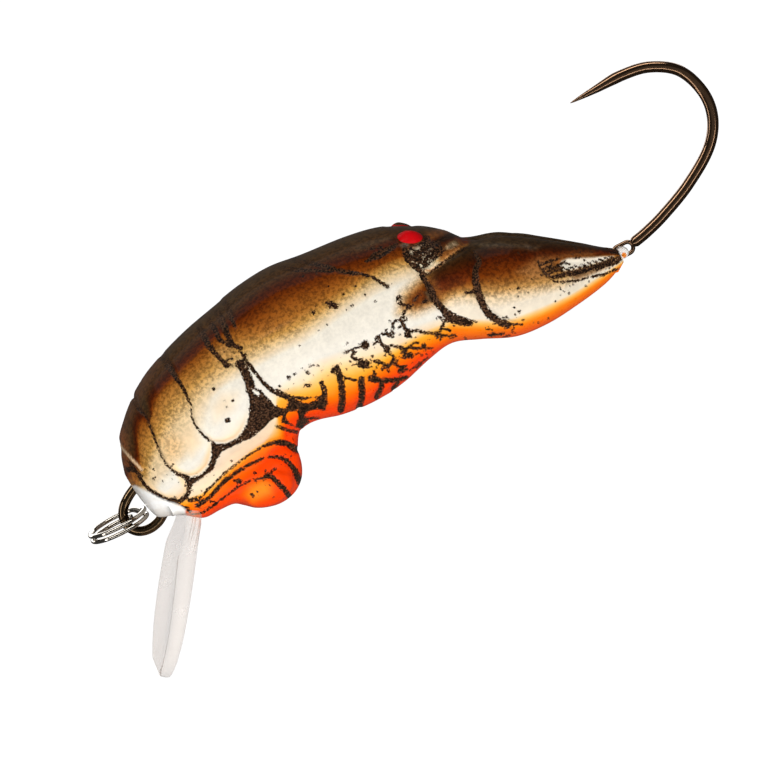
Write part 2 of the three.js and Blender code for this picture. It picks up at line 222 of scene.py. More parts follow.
def patch_distance(place, outline):
    """Distance of each place to the edge of a closed outline, below 0 inside it."""
    closed = np.array(list(outline) + [outline[0]], float)
    edge = stroke_distance(place, closed, [0.0], smooth=False)
    x, z = place.T
    inside = np.zeros(len(place), bool)
    for (xa, za), (xb, zb) in zip(closed, closed[1:]):
        crosses = (za > z) != (zb > z)
        inside ^= crosses & (x < (xb - xa) * (z - za) / np.where(zb == za, 1e-9, zb - za) + xa)
    return np.where(inside, -edge, edge)


def nearest(place, strokes=(), patches=()):
    """Distance to the nearest of many marks. A stroke is (width, points)."""
    best = np.full(len(place), FAR)
    for width, points in strokes:
        best = np.minimum(best, stroke_distance(place, points, width))
    for outline in patches:
        best = np.minimum(best, patch_distance(place, outline))
    return best


def oval_level(place, centre, sizes, tilt):
    """1 at the centre of a tilted oval, 0 at its edge and below 0 outside it."""
    across = place - np.array(centre)
    c, s = math.cos(tilt), math.sin(tilt)
    u = (across[:, 0] * c + across[:, 1] * s) / sizes[0]
    v = (across[:, 1] * c - across[:, 0] * s) / sizes[1]
    return 1 - np.hypot(u, v)


# ---------------- marks on the body, in the side view
# Tail segments, from the nose back. Each overlaps the one before it. Outlines that reach past the body's edge
# have points well outside it.
LOBE_A = numbers(2, "95 1200 85 390 95 260 110 120 140 60 180 5 230 -30 300 -25 330 10 330 1200")
LOBE_B = numbers(2, """
    295 1200 285 640 270 550 290 490 295 400 280 320 275 200 300 120 350 65 410 50 480 70 530 120 580 180
    590 1200
""")
LOBE_C = numbers(2, """
    520 1200 540 740 555 600 560 480 555 400 535 360 530 300 545 250 570 180 630 145 700 140 760 165 820 220
    870 300 900 370 910 450 900 500 930 640 950 1200
""")
CARAPACE = numbers(2, """
    990 1200 970 760 945 620 950 520 970 440 990 360 1020 290 1090 210 1160 190 1280 220 1450 140 1600 120
    1800 130 2020 190 2070 300 2060 480 2030 600 2040 1200
""")
SNOUT = numbers(2, """
    2050 650 2040 600 2060 540 2100 500 2200 505 2300 535 2390 555 2430 610 2360 710 2240 790 2150 740
""")
UPPER_PINCER = numbers(2, "2710 215 2760 205 2830 195 2900 155 3000 115 3100 80 3170 70 3170 600 2640 600")
LOBES = ((LOBE_A, 0.9, 3.2), (LOBE_B, 2.7, 5.7), (LOBE_C, 5.2, 9.3))  # with the x where each starts and ends
LOBE_LIFT, CARAPACE_LIFT, SNOUT_LIFT, PINCER_LIFT = 0.16, 0.05, 0.05, 0.1
TAIL_BUMP_LIFT, BELLY_BUMP_LIFT, RIDGE_LIFT = 0.3, 0.1, 0.07
BELLY_BUMPS = ((14.25, 0.6, 0.5), (15.2, 0.35, 0.45), (12.9, 0.9, 0.5), (16.1, 0.1, 0.4))  # x, z, reach
GROOVE_DEPTH, INK_DEPTH = 0.1, 0.025
RELIEF_ROOM = 0.1  # how far inside the CAD outline the surface between raised details lies

# Lines that are both cut into the body and inked.
TAIL_EDGES = strokes("""
    16-30: 85 300 100 220 105 160 120 100 150 50 180 5 220 -20;
    30-26: 180 -10 230 -35 290 -30 330 5 340 50;
    34-16: 275 610 275 550 295 490;
    13: 295 490 292 410 282 320 275 200 295 130;
    16-30: 295 130 315 100 350 62;
    50-34: 530 760 542 700 550 620;
    30-13: 550 620 562 520 560 420;
    10-16: 555 410 533 360 530 300 542 240 560 195;
    44-20: 795 790 800 730 805 660 825 590 840 530;
    34-22: 865 810 875 740 875 680 910 620;
    46-24: 930 830 930 740 925 680 930 620 960 580;
    40-18: 995 850 990 780 985 710;
""")
CARAPACE_FRONT = strokes("""
    50-55: 915 505 920 450 915 390 900 340;
    16-32: 950 550 960 470 975 390 995 320 1025 260 1075 210;
    30: 1030 270 1070 210 1085 150 1090 90 1100 35;
""")
BELLY_RIBS = strokes("""
    40: 1395 230 1385 170 1360 100 1335 50 1305 10;
    40-34: 1490 110 1465 55 1440 10 1400 -30;
    30: 1540 95 1575 70 1585 40 1560 10 1520 -20;
    30-20: 1600 50 1640 30 1690 10 1730 5;
    20-30: 1690 15 1660 -5 1630 -20;
    14: 1390 190 1420 155 1460 120;
""")
FOLDED_TAIL = strokes("""
    12-16: 350 -75 430 -50 530 -15 620 2 720 20 830 25;
    20-42: 830 25 900 8 935 -20 975 -80;
    26-18: 320 -105 410 -95 500 -62 600 -40 700 -33 780 -36;
    14-40: 810 -45 850 -60 895 -110 910 -180 905 -255;
    14: 270 -135 330 -155 420 -145 500 -130 580 -118 660 -115;
    12-16: 680 -120 740 -135 820 -120;
    30: 750 -135 780 -160 795 -210 810 -260 812 -305;
    20: 950 80 980 45 1020 10;
""")
CLAW_BASES = strokes("""
    36-42: 2070 490 2075 400 2072 330;
    40-44: 2072 330 2085 270 2098 220;
    20-42: 2400 470 2400 410 2360 375 2330 320;
    44: 2330 320 2315 260 2305 190 2310 120 2340 60 2380 10;
    30-10: 2370 20 2410 0 2450 -20;
    12-20: 2100 472 2200 495 2300 508 2360 515;
""")
PINCER_EDGES = strokes("""
    10-14: 2705 240 2705 210 2708 165;
    18-30: 2715 160 2740 135 2780 125 2830 114;
    34-30: 2830 112 2900 93 2960 84 3020 76 3080 66 3140 58;
    14-10: 2730 182 2770 180 2810 186 2840 182;
""")
CARAPACE_GROOVES = strokes("""
    30-20: 1460 900 1530 840 1600 780 1670 715 1740 665;
    12-22: 1740 665 1800 615 1830 570 1865 515;
    30-16: 1380 890 1460 830 1540 785 1620 740;
""")
GROOVES = TAIL_EDGES + CARAPACE_FRONT + BELLY_RIBS + FOLDED_TAIL + CLAW_BASES
GROOVES += PINCER_EDGES + CARAPACE_GROOVES

# Ink that lies flat on the surface.
LEGS = strokes("""
    11: 1475 287 1495 285;
    14: 1510 285 1530 287 1560 283 1590 290 1620 290;
    20: 1530 270 1510 260 1505 245 1515 230 1535 215;
    14: 1590 185 1600 170;
    20: 1615 165 1630 150 1645 130 1660 110 1690 120 1715 135;
    14: 1712 152 1712 130 1725 110;
    16: 1620 105 1640 115 1650 100 1650 80;
    18: 1700 110 1710 85 1730 70 1750 65;
    18: 1530 88 1550 95 1570 100 1575 120;
    22: 1540 80 1560 70 1580 55 1600 45 1620 35;
    16: 1645 260 1670 265;
    22: 1687 287 1685 260 1685 235 1695 220;
    11: 1700 165 1715 165;
    16-23: 1730 210 1750 190 1770 175 1785 160 1800 150;
    14: 1800 150 1830 155 1860 160 1875 150;
    22-11: 1820 150 1850 130 1880 115 1910 100 1935 85;
    11: 1830 95 1850 100 1865 75;
    8: 1760 30 1800 38 1840 44 1890 50;
    14: 1805 28 1840 40;
    16: 1710 292 1730 280 1745 300;
    19: 1735 280 1745 260;
    16: 1760 275 1770 260 1785 290;
    16: 1785 300 1800 315 1820 320 1835 310 1850 320 1870 320 1875 300 1855 295;
    22: 1845 310 1845 280 1845 250 1860 235;
    14: 1815 280 1840 275;
    18: 1870 230 1900 215 1925 195 1950 175 1980 160 1995 148;
    18: 1990 145 2020 155 2040 170 2060 190;
    22-11: 2000 145 2030 120 2060 105 2085 95;
    14: 2015 130 2000 110;
    16: 2050 150 2072 130;
    9: 2050 90 2090 85;
    11: 2055 195 2060 210 2055 225 2040 230 2033 220;
    16: 1900 440 1885 430 1875 410 1885 395 1900 380 1920 370 1930 355;
    14: 1900 440 1905 420 1895 405;
    16: 1920 360 1900 350 1880 340 1868 335;
    14: 1955 374 1985 386;
    16: 2000 340 2030 350;
""")
FACE = strokes("""
    34: 2050 660 2038 610 2048 570 2065 530 2080 490;
    20: 2115 615 2170 605 2220 620 2320 620;
    24: 2115 575 2170 550 2230 562;
    18: 2195 680 2200 650 2180 620;
    20: 2285 556 2300 570 2310 554 2325 572 2336 560;
""")
BACK_MARKS = strokes("""
    14-34: 1820 700 1880 700 1940 705;
    34-10: 1940 705 1990 710 2030 710;
    12: 1850 765 1890 750 1940 730;
    16: 1810 610 1820 595;
    30-12: 2320 280 2280 270 2240 285;
    16: 2260 5 2300 -10 2340 -25;
    10: 2270 40 2290 25;
    9: 2330 -40 2370 -50;
    16-10: 2170 150 2200 130 2230 105;
""")
PINCER_MARKS = strokes("""
    16: 2705 250 2702 220 2708 170;
    14: 2710 230 2750 230 2790 220 2815 215;
    14: 2710 198 2740 202 2765 194;
    14: 2750 182 2800 180 2840 185 2845 168;
    16: 2715 162 2750 164 2780 156 2810 160;
    10: 2795 160 2795 135;
    12: 2722 132 2732 115 2750 100;
    13: 2770 92 2810 74 2840 60 2870 50 2910 47;
    13: 2940 36 2980 28 3020 18 3060 12 3100 12;
    10: 2900 174 2930 170;
    16: 3110 112 3140 92 3160 80;
""")
COLLAR = strokes("""
    16-10: 965 480 975 420;
    30-14: 840 530 870 520;
    20: 895 500 930 495 965 535;
    20: 1190 225 1210 215;
    14: 960 60 935 95;
    14: 1120 50 1170 25;
""")
NOSE_MARKS = strokes("""
    30-12: 60 260 95 230 120 190;
    20: 230 -70 260 -90 270 -120;
    22: 300 -60 340 -75 350 -100;
    12: 400 -120 430 -140;
""")
STROKES = LEGS + FACE + BACK_MARKS + PINCER_MARKS + COLLAR + NOSE_MARKS
# Tips of the teeth along the upper pincer.
TEETH = numbers(2, "2800 152 2830 142 2860 134 2895 126 2930 120 2965 114 3000 108 3035 102 3070 94 3100 86")
STROKES += [((0.2, 0.1), [(x + 0.1, z - 0.28), (x + 0.06, z - 0.06), (x - 0.08, z + 0.08)]) for x, z in TEETH]

# Filled ink areas, and what shows through them.
INK_PATCHES = outlines("""
    1562 285 1620 293 1625 275 1610 250 1598 242 1575 260;
    1505 195 1520 215 1550 210 1575 195 1575 170 1560 150 1540 155 1510 175;
    1675 205 1690 225 1720 212 1740 205 1710 190 1705 170 1690 170 1680 185;
    1710 55 1730 75 1750 60 1740 40 1720 35;
    1755 120 1770 155 1800 155 1800 135 1785 120 1795 105 1780 95 1760 105;
    1820 215 1835 240 1865 245 1875 225 1862 210 1865 185 1855 188 1830 205;
    2080 250 2108 245 2140 200 2170 160 2210 105 2190 95 2140 135 2095 160 2075 200;
    2990 66 3080 60 3145 58 3160 45 3120 32 3060 45 3000 52;
    325 35 370 55 420 42 480 62 530 110 560 175 575 190 585 160 630 138 700 132 760 158 820 210 865 285
      885 350 930 340 955 315 970 250 1020 190 1030 150 1000 130 940 140 870 120 800 98 700 102 600 105
      540 75 500 35 440 25 380 20 330 0;
    1000 140 1040 170 1090 210 1140 180 1200 145 1250 135 1270 210 1295 215 1290 150 1255 75 1220 45 1190 75
      1150 85 1110 80 1100 30 1050 10 1020 50 970 100;
""")
SPECKLED_PATCHES = outlines("""
    2035 670 2028 600 2050 540 2080 500 2140 520 2200 535 2260 550 2270 575 2230 605 2200 630 2195 680
      2160 660 2090 660;
    2280 590 2278 560 2295 550 2320 552 2342 562 2346 580 2320 595;
    1830 705 1880 728 1950 725 2030 712 2030 700 1960 682 1900 678 1850 690;
    2070 230 2110 260 2135 210 2190 150 2210 105 2160 110 2120 145 2070 185;
""")
ISLANDS = outlines("""
    975 250 1005 240 1050 190 1045 165 1010 175 980 210;
    1005 115 1035 135 1080 120 1070 80 1030 45 1010 80;
    1110 175 1140 155 1210 142 1220 125 1150 130;
    910 335 935 330 940 300 920 295;
    2095 660 2110 650 2135 645 2130 625 2100 630;
    2068 650 2078 650 2076 615 2066 615;
    2084 550 2092 545 2098 505 2090 505;
    2305 572 2315 574 2320 566 2308 560;
    2170 600 2195 605 2192 595 2170 592;
    2115 575 2140 580 2138 570 2115 566;
    2130 540 2155 546 2160 538 2132 532;
""")
DOTS = numbers(3, """
    705 250 14 715 445 10 740 320 6 785 338 8 742 355 5 1530 575 16 1550 550 15 1525 560 12 1420 575 10
    1620 590 7 1635 510 8 1730 530 5 1260 440 6 1400 470 5 1130 310 10 1265 310 7 1235 285 10 1115 295 5
    850 555 8 955 560 6 2750 225 6 2768 215 5 2807 215 5 2858 160 6 2947 142 6 2827 40 5 2768 88 6
    2787 80 7 2920 45 7 2920 20 4 2988 25 7 3012 15 9 3035 15 6 3055 12 5 3110 6 5 1512 330 6 1625 355 3
    1570 300 6 1783 335 6 1670 170 5 1805 90 6 1715 150 8 1703 25 5 2005 390 6 1950 360 4 1890 70 4
    1930 65 5 2065 600 4 635 -200 10 665 -190 7 600 -90 14 700 -90 9 765 -105 7 420 -50 9 2400 280 6
    2530 170 8 2480 185 5 2460 80 6 2760 35 5 2890 5 6 2690 10 5 2950 140 6 1890 525 5 1485 290 9
    1370 230 14 1090 200 8 2550 -60 6 2610 -65 5 2520 -45 4 2390 -40 6 200 190 6 175 150 5 2030 340 8
    1920 360 14 1710 55 14 1900 125 12 1800 110 16 1990 135 10
""")
# Spatter around the drawn marks: how many dots, and two corners of the box that they fall in.
SPATTER = [
    (46, (3.0, -1.4), (9.4, 0.6)), (26, (1.2, -1.3), (3.4, 3.0)), (60, (15.0, 0.3), (21.5, 3.2)),
    (34, (10.5, 1.8), (15.0, 3.4)), (30, (22.5, -0.6), (24.8, 0.6)), (34, (27.2, 0.1), (31.0, 2.3)),
    (30, (14.0, 4.6), (19.0, 8.2)), (24, (8.2, 4.9), (10.2, 6.8)), (20, (24.0, 0.4), (27.5, 3.6)),
    (14, (6.2, -2.8), (9.3, -1.0)), (16, (20.6, 5.0), (23.4, 6.8)),
]

SPATTER_SEED = 11
SPATTER_RADII = (0.02, 0.05)  # the least, and what chance adds to it
DEEPEST_INK, DEEPEST_SPECKLED = -0.15, -0.07  # how far below 0 the distance to the ink's edge goes

EYE_CENTRE = (21.09, 7.13)
EYE_HALF_SIZES = (0.74, 0.38)
EYE_TILT = math.radians(-29)
EYE_LIFT = 0.3
EYE_RISE = 0.22  # how much further the top of the eye stands up

TAIL_BUMP = ((7.3, -2.15), (1.8, 1.05), 0.0)  # the round end of the folded tail: centre, half-sizes, tilt

# ---------------- paint in the side view
DARK_EDGE = numbers(2, """
    30 240 80 250 120 270 155 320 200 430 250 490 285 485 315 425 350 530 420 590 530 630 650 670 800 710
    950 730 1100 770 1250 795 1400 790 1500 780 1700 760 1800 740 2000 720 2100 690 2200 635 2350 590
    2450 560
""")
# A paint level is a line along the body and its colour. They go from the top down. The first ones follow the
# edge of the dark back: how far above it they run in front of TAIL_END and behind it, and their colours.
FRONT_PAINT = [
    ([(x, z + (at_tail if x < TAIL_END else behind)) for x, z in DARK_EDGE], colour)
    for at_tail, behind, colour in (
        # The top level, greyer than the dark back under it, is a painted sheen along the back's top edge.
        (1.1, 1.1, (74, 54, 32)), (0.5, 0.5, (74, 45, 18)), (0.05, 0.05, (72, 24, 0)),
        (-0.12, -0.3, (98, 38, 0)), (-0.3, -0.85, (128, 64, 12)),
    )
]
FRONT_PAINT += levels("""
    162 100 36: 30 200 120 220 200 375 300 440 420 540 550 580 700 610 900 650 1150 610 1300 610 1680 625
      1960 635 2200 560 2400 530;
    192 143 72: 30 160 120 180 200 270 300 350 420 440 550 490 700 530 900 570 1150 555 1300 550 1680 590
      1960 605 2200 510 2400 490;
    219 190 144: 30 110 120 120 200 210 300 280 420 350 550 400 700 460 900 490 1150 505 1300 500 1680 550
      1960 555 2400 460;
    224 201 166: 30 80 120 80 200 140 300 170 420 210 550 340 700 430 900 470 1150 480 1300 480 1680 530
      1960 530 2400 440;
    227 219 203: 30 60 120 50 200 90 300 120 420 160 550 240 700 400 900 430 1150 445 1300 440 1680 490
      1960 490 2400 420;
    229 222 209: 30 40 120 30 200 50 300 80 420 120 550 170 700 240 900 280 1150 310 1300 330 1680 280
      1960 240 2100 220 2400 200;
    242 214 176: 30 0 120 0 200 10 300 -40 420 -48 550 -5 650 20 750 40 850 55 960 140 1020 250 1200 250
      1350 280 1500 240 1700 200 1960 195 2100 180 2400 150;
    255 168 44: 30 -40 120 -50 220 -50 300 -60 420 -64 550 -20 650 4 750 26 850 38 930 50 1000 200 1200 170
      1350 160 1500 135 1700 150 1900 165 2100 145 2400 110;
    255 120 0: 30 -90 120 -90 300 -85 420 -85 550 -40 650 -14 750 6 850 16 930 20 1000 120 1200 115 1350 85
      1500 85 1700 105 1900 115 2100 90 2400 50;
    255 68 4: 30 -200 300 -180 500 -140 650 -110 760 -70 850 -20 930 -10 1000 75 1200 55 1350 10 1500 20
      1700 40 1900 70 2100 40 2400 0;
""")
CLAW_PAINT = levels("""
    72 54 34: 2060 560 2250 560 2400 560 2600 495 2800 370 3000 240 3160 150;
    60 40 18: 2060 480 2250 485 2400 490 2600 435 2800 330 3000 210 3160 120;
    56 24 2: 2060 440 2200 450 2400 440 2500 435 2600 395 2800 295 3000 185 3160 100;
    80 26 0: 2060 400 2200 395 2400 395 2500 385 2600 340 2800 260 3000 170 3160 90;
    110 48 4: 2060 350 2200 350 2350 325 2500 295 2600 260 2800 215 3000 150 3160 80;
    136 80 26: 2060 330 2200 330 2350 290 2500 235 2700 190 2800 170 3000 125 3160 70;
    184 136 74: 2060 305 2200 305 2350 240 2500 185 2700 130 2800 115 3000 95 3160 60;
    216 190 152: 2060 280 2200 270 2350 190 2500 140 2700 80 2800 65 3000 60 3160 50;
    226 212 190: 2060 250 2200 220 2350 130 2500 90 2700 50 2800 40 3000 40 3160 45;
    233 220 198: 2060 210 2200 140 2400 40 2500 25 2600 15 2800 5 3000 25 3160 40;
    254 182 84: 2060 180 2200 105 2400 15 2500 -5 2600 -15 2800 -15 3000 5 3160 30;
    255 130 14: 2060 150 2200 70 2400 -15 2600 -40 2800 -35 3000 -10 3160 20;
    255 96 16: 2060 80 2200 10 2400 -55 2600 -80 2800 -70 3000 -45 3160 0;
""")
CLAW_TOP = numbers(2, "2060 475 2200 490 2350 520 2420 560 2480 800 3160 800")
CLAWS_FROM = (20.6, 20.95)  # the x where the claws' paint fades in
CLAW_BACK_FROM = 22.5  # behind this x the dark back ends at the claws' second paint level
# Tinted patches with soft edges: colour, how far the edge fades and the strength in hundredths, outline.
# Painted light among the tints: the third row is a painted highlight along the top of the claws, the fourth a
# painted sheen band on the top of the head, and the sixth a painted highlight on the upper left of the folded
# tail's round end.
TINTS = tints("""
    196 146 82: 55 100: 1850 355 1930 310 2100 300 2100 490 2020 470 1920 440;
    104 46 2: 40 100: 1900 375 1960 335 2100 320 2100 450 2020 435 1950 410;
    104 92 76: 22 60: 2420 515 2500 480 2650 400 2760 325 2720 320 2600 400 2460 475;
    92 74 54: 20 60: 1800 800 2000 775 2040 760 2000 755 1800 775;
    84 70 54: 10 80: 2035 395 2040 325 2070 320 2070 390;
    255 146 24: 45 85: 610 -240 590 -180 640 -135 730 -135 760 -190 730 -240;
    232 204 166: 50 60: 660 360 640 280 760 290 820 360 740 400;
    128 76 34: 18 85: 2200 695 2200 640 2280 640 2350 635 2310 680;
    40 24 10: 14 80: 2160 630 2160 595 2340 600 2400 590 2350 630;
    132 76 32: 12 90: 2220 585 2200 515 2320 525 2370 540 2350 590;
    222 194 150: 10 90: 2250 560 2290 545 2340 550 2335 580 2290 580;
    206 196 170: 20 90: 2050 650 2045 530 2120 500 2200 530 2180 650;
    198 132 76: 6 95: 2095 508 2120 480 2180 482 2240 508 2330 524 2330 534 2240 520 2180 494 2125 492;
    100 90 80: 12 85: 2035 700 2040 670 2080 665 2090 698;
    236 226 208: 10 100: 2800 175 2830 198 2870 195 2920 172 2980 145 3060 112 3120 84 3040 86 2950 102
      2860 120 2810 140;
    134 94 58: 14 80: 2840 105 2900 85 3120 60 3130 40 3000 45 2850 60;
    176 126 78: 35 55: 2560 260 2720 280 2820 235 2940 200 3030 155 3000 140 2860 210 2790 190 2700 150
      2620 180;
    112 46 12: 14 80: 3020 160 3020 142 3070 130 3070 145;
    170 104 46: 25 85: 50 260 40 160 90 150 100 240;
    134 78 42: 30 85: 10 260 10 460 140 540 150 440 110 340 90 270;
    98 62 36: 30 80: 120 560 340 740 540 820 500 700 340 600 200 500 140 430;
    212 168 112: 45 60: 290 200 290 330 390 330 420 250 360 200;
    232 202 160: 40 65: 430 160 420 290 500 310 520 200;
    200 152 92: 30 55: 800 530 800 640 920 640 930 550;
""")
BARE_NOSE = numbers(2, "0 175 55 155 100 100 140 40 185 -15 230 -55 250 -95 220 -160 0 -160")
RIDGE_LINE = numbers(2, "78 400 100 330 120 270 135 220")


def to_linear(colour):
    """A screen colour, 0 to 255, as linear light."""
    c = np.array(colour, float) / 255
    return np.where(c <= 0.04045, c / 12.92, ((c + 0.055) / 1.055) ** 2.4)


def ramp_between(levels, x, z):
    """Colour at each place from paint levels that run along the body, top to bottom."""
    heights = np.stack([line_at(line, x) for line, _ in levels])
    colours = np.array([colour for _, colour in levels], float)
    found = np.repeat(colours[:1], len(x), axis=0)
    for upper, lower, top, bottom in zip(heights, heights[1:], colours, colours[1:]):
        share = np.clip((upper - z) / np.maximum(upper - lower, 0.02), 0, 1)[:, None]
        found = np.where(share > 0, top + (bottom - top) * share, found)
    return found


def paint_colour(place):
    """The airbrushed colours, with a painted highlight along the nose ridge and the painted highlights and
    sheen among the tints, without the ink.
    """
    x, z = place.T
    front = ramp_between(FRONT_PAINT, x, z)
    claws = ramp_between(CLAW_PAINT, x, z)
    claw_share = smooth_step(*CLAWS_FROM, x) * smooth_step(0.06, -0.06, z - line_at(CLAW_TOP, x))
    colour = front + (claws - front) * claw_share[:, None]
    for outline, tint, (fade, strength) in TINTS:
        share = strength * smooth_step(fade, -fade, patch_distance(place, outline))
        colour += (np.array(tint) - colour) * share[:, None]
    # Painted highlight: a pale line along the raised ridge on the nose.
    painted_ridge_highlight = smooth_step(0.08, -0.03, stroke_distance(place, RIDGE_LINE, [0.12]))
    colour += (np.array((225, 190, 150)) - colour) * painted_ridge_highlight[:, None]
    return colour


def painted_edge_highlight(place, colour):
    """Painted highlights: warm light rims along the lower edges of the raised tail segments."""
    for outline, _, _ in LOBES:
        depth = -patch_distance(place, outline)
        rim = smooth_step(0.0, 0.06, depth) * smooth_step(0.42, 0.12, depth)
        rim = rim * smooth_step(2.6, 1.0, place[:, 1])
        colour += (np.array((255, 214, 160)) - colour) * (0.75 * rim)[:, None]
    return colour


def spatter_dots():
    """Fine dots flung around the ink, the same on every run."""
    chance = np.random.default_rng(SPATTER_SEED)
    dots = []
    for count, low, high in SPATTER:
        places = chance.uniform(low, high, (count, 2))
        sizes = SPATTER_RADII[0] + SPATTER_RADII[1] * chance.random(count) ** 2
        dots += [(x, z, size) for (x, z), size in zip(places, sizes)]
    return dots


def ink_distance(place):
    """Distance to the ink's edge: below 0 in ink."""
    ink = nearest(place, GROOVES + STROKES, INK_PATCHES)
    speckled = np.maximum(nearest(place, [], SPECKLED_PATCHES), DEEPEST_SPECKLED)
    ink = np.minimum(np.maximum(ink, DEEPEST_INK), speckled)
    for outline in ISLANDS:
        ink = np.maximum(ink, -patch_distance(place, outline))
    for x, z, radius in DOTS + spatter_dots():
        near = np.abs(place - (x, z)).max(axis=1) < radius + 0.5
        gap = np.hypot(*(place[near] - (x, z)).T) - 1.2 * radius
        ink[near] = np.minimum(ink[near], gap)
    return ink


def stacked_lobes(place):
    """Height of the overlapping tail segments, each proud of the one before it."""
    height = np.zeros(len(place))
    for outline, start, end in LOBES:
        depth = -patch_distance(place, outline)
        lift = LOBE_LIFT * (1 - 0.75 * smooth_step(start, end, place[:, 0]))
        lift = lift * (0.55 + 0.45 * smooth_step(0.9, 0.15, np.abs(depth)))
        height += (lift - height) * smooth_step(-0.02, 0.16, depth)
    return height * smooth_step(6.4, 4.4, place[:, 1] - 0.12 * place[:, 0])


def relief(place):
    """Height of the moulded detail at each place."""
    x, z = place.T
    height = stacked_lobes(place) - RELIEF_ROOM
    height += CARAPACE_LIFT * smooth_step(-0.04, 0.3, -patch_distance(place, CARAPACE))
    height += SNOUT_LIFT * smooth_step(-0.03, 0.3, -patch_distance(place, SNOUT))
    pincer = -patch_distance(place, UPPER_PINCER)
    height += PINCER_LIFT * smooth_step(-0.03, 0.2, pincer) * smooth_step(26.4, 27.6, x)
    bump = oval_level(place, *TAIL_BUMP)
    height += TAIL_BUMP_LIFT * np.sqrt(np.clip(bump * (2 - bump), 0, 1)) * smooth_step(0, 0.3, bump)
    cut = smooth_step(0.1, -0.14, nearest(place, GROOVES))
    height -= GROOVE_DEPTH * cut * smooth_step(8.2, 6.2, z) * smooth_step(-2.6, -1.4, z)
    height -= INK_DEPTH * smooth_step(0.06, -0.1, nearest(place, STROKES))
    for bump_x, bump_z, reach in BELLY_BUMPS:
        height += BELLY_BUMP_LIFT * np.exp(-((np.hypot(x - bump_x, z - bump_z) / reach) ** 2))
    height += RIDGE_LIFT * smooth_step(0.12, -0.06, stroke_distance(place, RIDGE_LINE, [0.14]))
    eye = np.clip(oval_level(place, EYE_CENTRE, EYE_HALF_SIZES, EYE_TILT), 0, 1)
    height += EYE_LIFT * np.sqrt(eye * (2 - eye))
    return height * smooth_step(0.25, 0.9, x) * smooth_step(31.5, 30.9, x)


# ---------------- body shells
def half_width(x, z):
    """Half-width of the body at a height z in the section at x."""
    bottom = line_at(BELLY_LINE, x)
    top = line_at(BACK_LINE, x)
    root_from, root_to = TAIL_ROOT_LINE[0][0], TAIL_ROOT_LINE[-1][0]
    curled = (x > root_from) & (x < root_to)
    floor = np.where(curled, np.maximum(bottom, line_at(TAIL_ROOT_LINE, x)), bottom)
    level = np.clip((z - floor) / (top - floor), 0, 1) * 2 - 1
    main = line_at(HALF_WIDTHS, x) * np.maximum(0, 1 - level**2) ** BODY_FULLNESS
    tail_level = np.clip((z - bottom) / (floor + TAIL_ROUNDING - bottom), 0, 1) * 2 - 1
    tail = line_at(TAIL_HALF_WIDTHS, x) * np.sqrt(np.maximum(0, 1 - tail_level**2))
    return np.where(floor <= bottom + 0.01, main, (main**4 + tail**4) ** 0.25)


def body_columns(count):
    """X of each section: they are closer together where the outline is steep."""
    fine = np.linspace(BACK_LINE[0][0], BACK_LINE[-1][0], 4000)
    rates = [np.gradient(line_at(line, fine), fine) for line in (BACK_LINE, BELLY_LINE, HALF_WIDTHS)]
    length = np.cumsum(np.sqrt(1 + sum(rate**2 for rate in rates)) * (fine[1] - fine[0]))
    return np.interp(np.linspace(length[0], length[-1], count), length, fine)


def seam_at(x):
    """How far the shell's edge stands from the middle plane: it opens into the slot for the hook's eye."""
    return SEAM + (LUG_SLOT - SEAM) * smooth_step(30.9, 31.1, x)


def outer_skin(xs):
    """Places of the right shell's outer skin before its relief, as a grid of columns by rows."""
    rise = (1 - np.cos(np.linspace(0, math.pi, ROWS))) / 2
    x = np.repeat(xs[:, None], ROWS, axis=1)
    bottom = line_at(BELLY_LINE, x)
    top = line_at(BACK_LINE, x)
    z = bottom + (top - bottom) * rise
    y = np.maximum(half_width(x, z), seam_at(x) + THINNEST)
    cleft_from, cleft_depth, cleft_half = CLAW_CLEFT
    cleft = cleft_depth * smooth_step(cleft_from, cleft_from + 2, x) * smooth_step(31.2, 29, x)
    z = z - cleft * np.exp(-((y / cleft_half) ** 2)) * smooth_step(0.6, 0.95, rise)
    y[:, [0, -1]] = seam_at(x[:, [0, -1]])
    return np.stack([x, y, z], axis=2)


def side_view(points):
    """Where body points of either side lie in the side view's plane."""
    x, y, z = points.reshape(-1, 3).T
    up = z * math.cos(VIEW_ELEVATION) - np.abs(y) * math.sin(VIEW_ELEVATION)
    across = x * math.cos(VIEW_AZIMUTH) - (np.abs(y) + up * math.sin(VIEW_ELEVATION)) * math.sin(VIEW_AZIMUTH)
    return np.stack([across, up], axis=1)


def with_relief(skin):
    along = np.gradient(skin, axis=0)
    around = np.gradient(skin, axis=1)
    normal = np.cross(around, along)
    normal /= np.maximum(np.linalg.norm(normal, axis=2, keepdims=True), 1e-9)
    normal[:, [0, -1], 1] = 0
    place = side_view(skin)
    raised = skin + normal * relief(place).reshape(skin.shape[:2])[:, :, None]
    eye = smooth_step(0, 1, oval_level(place, EYE_CENTRE, EYE_HALF_SIZES, EYE_TILT))
    raised[:, :, 2] += EYE_RISE * eye.reshape(skin.shape[:2])
    return raised


def disc(x, z, centre, radius):
    return np.hypot(x - centre[0], z - centre[1]) < radius


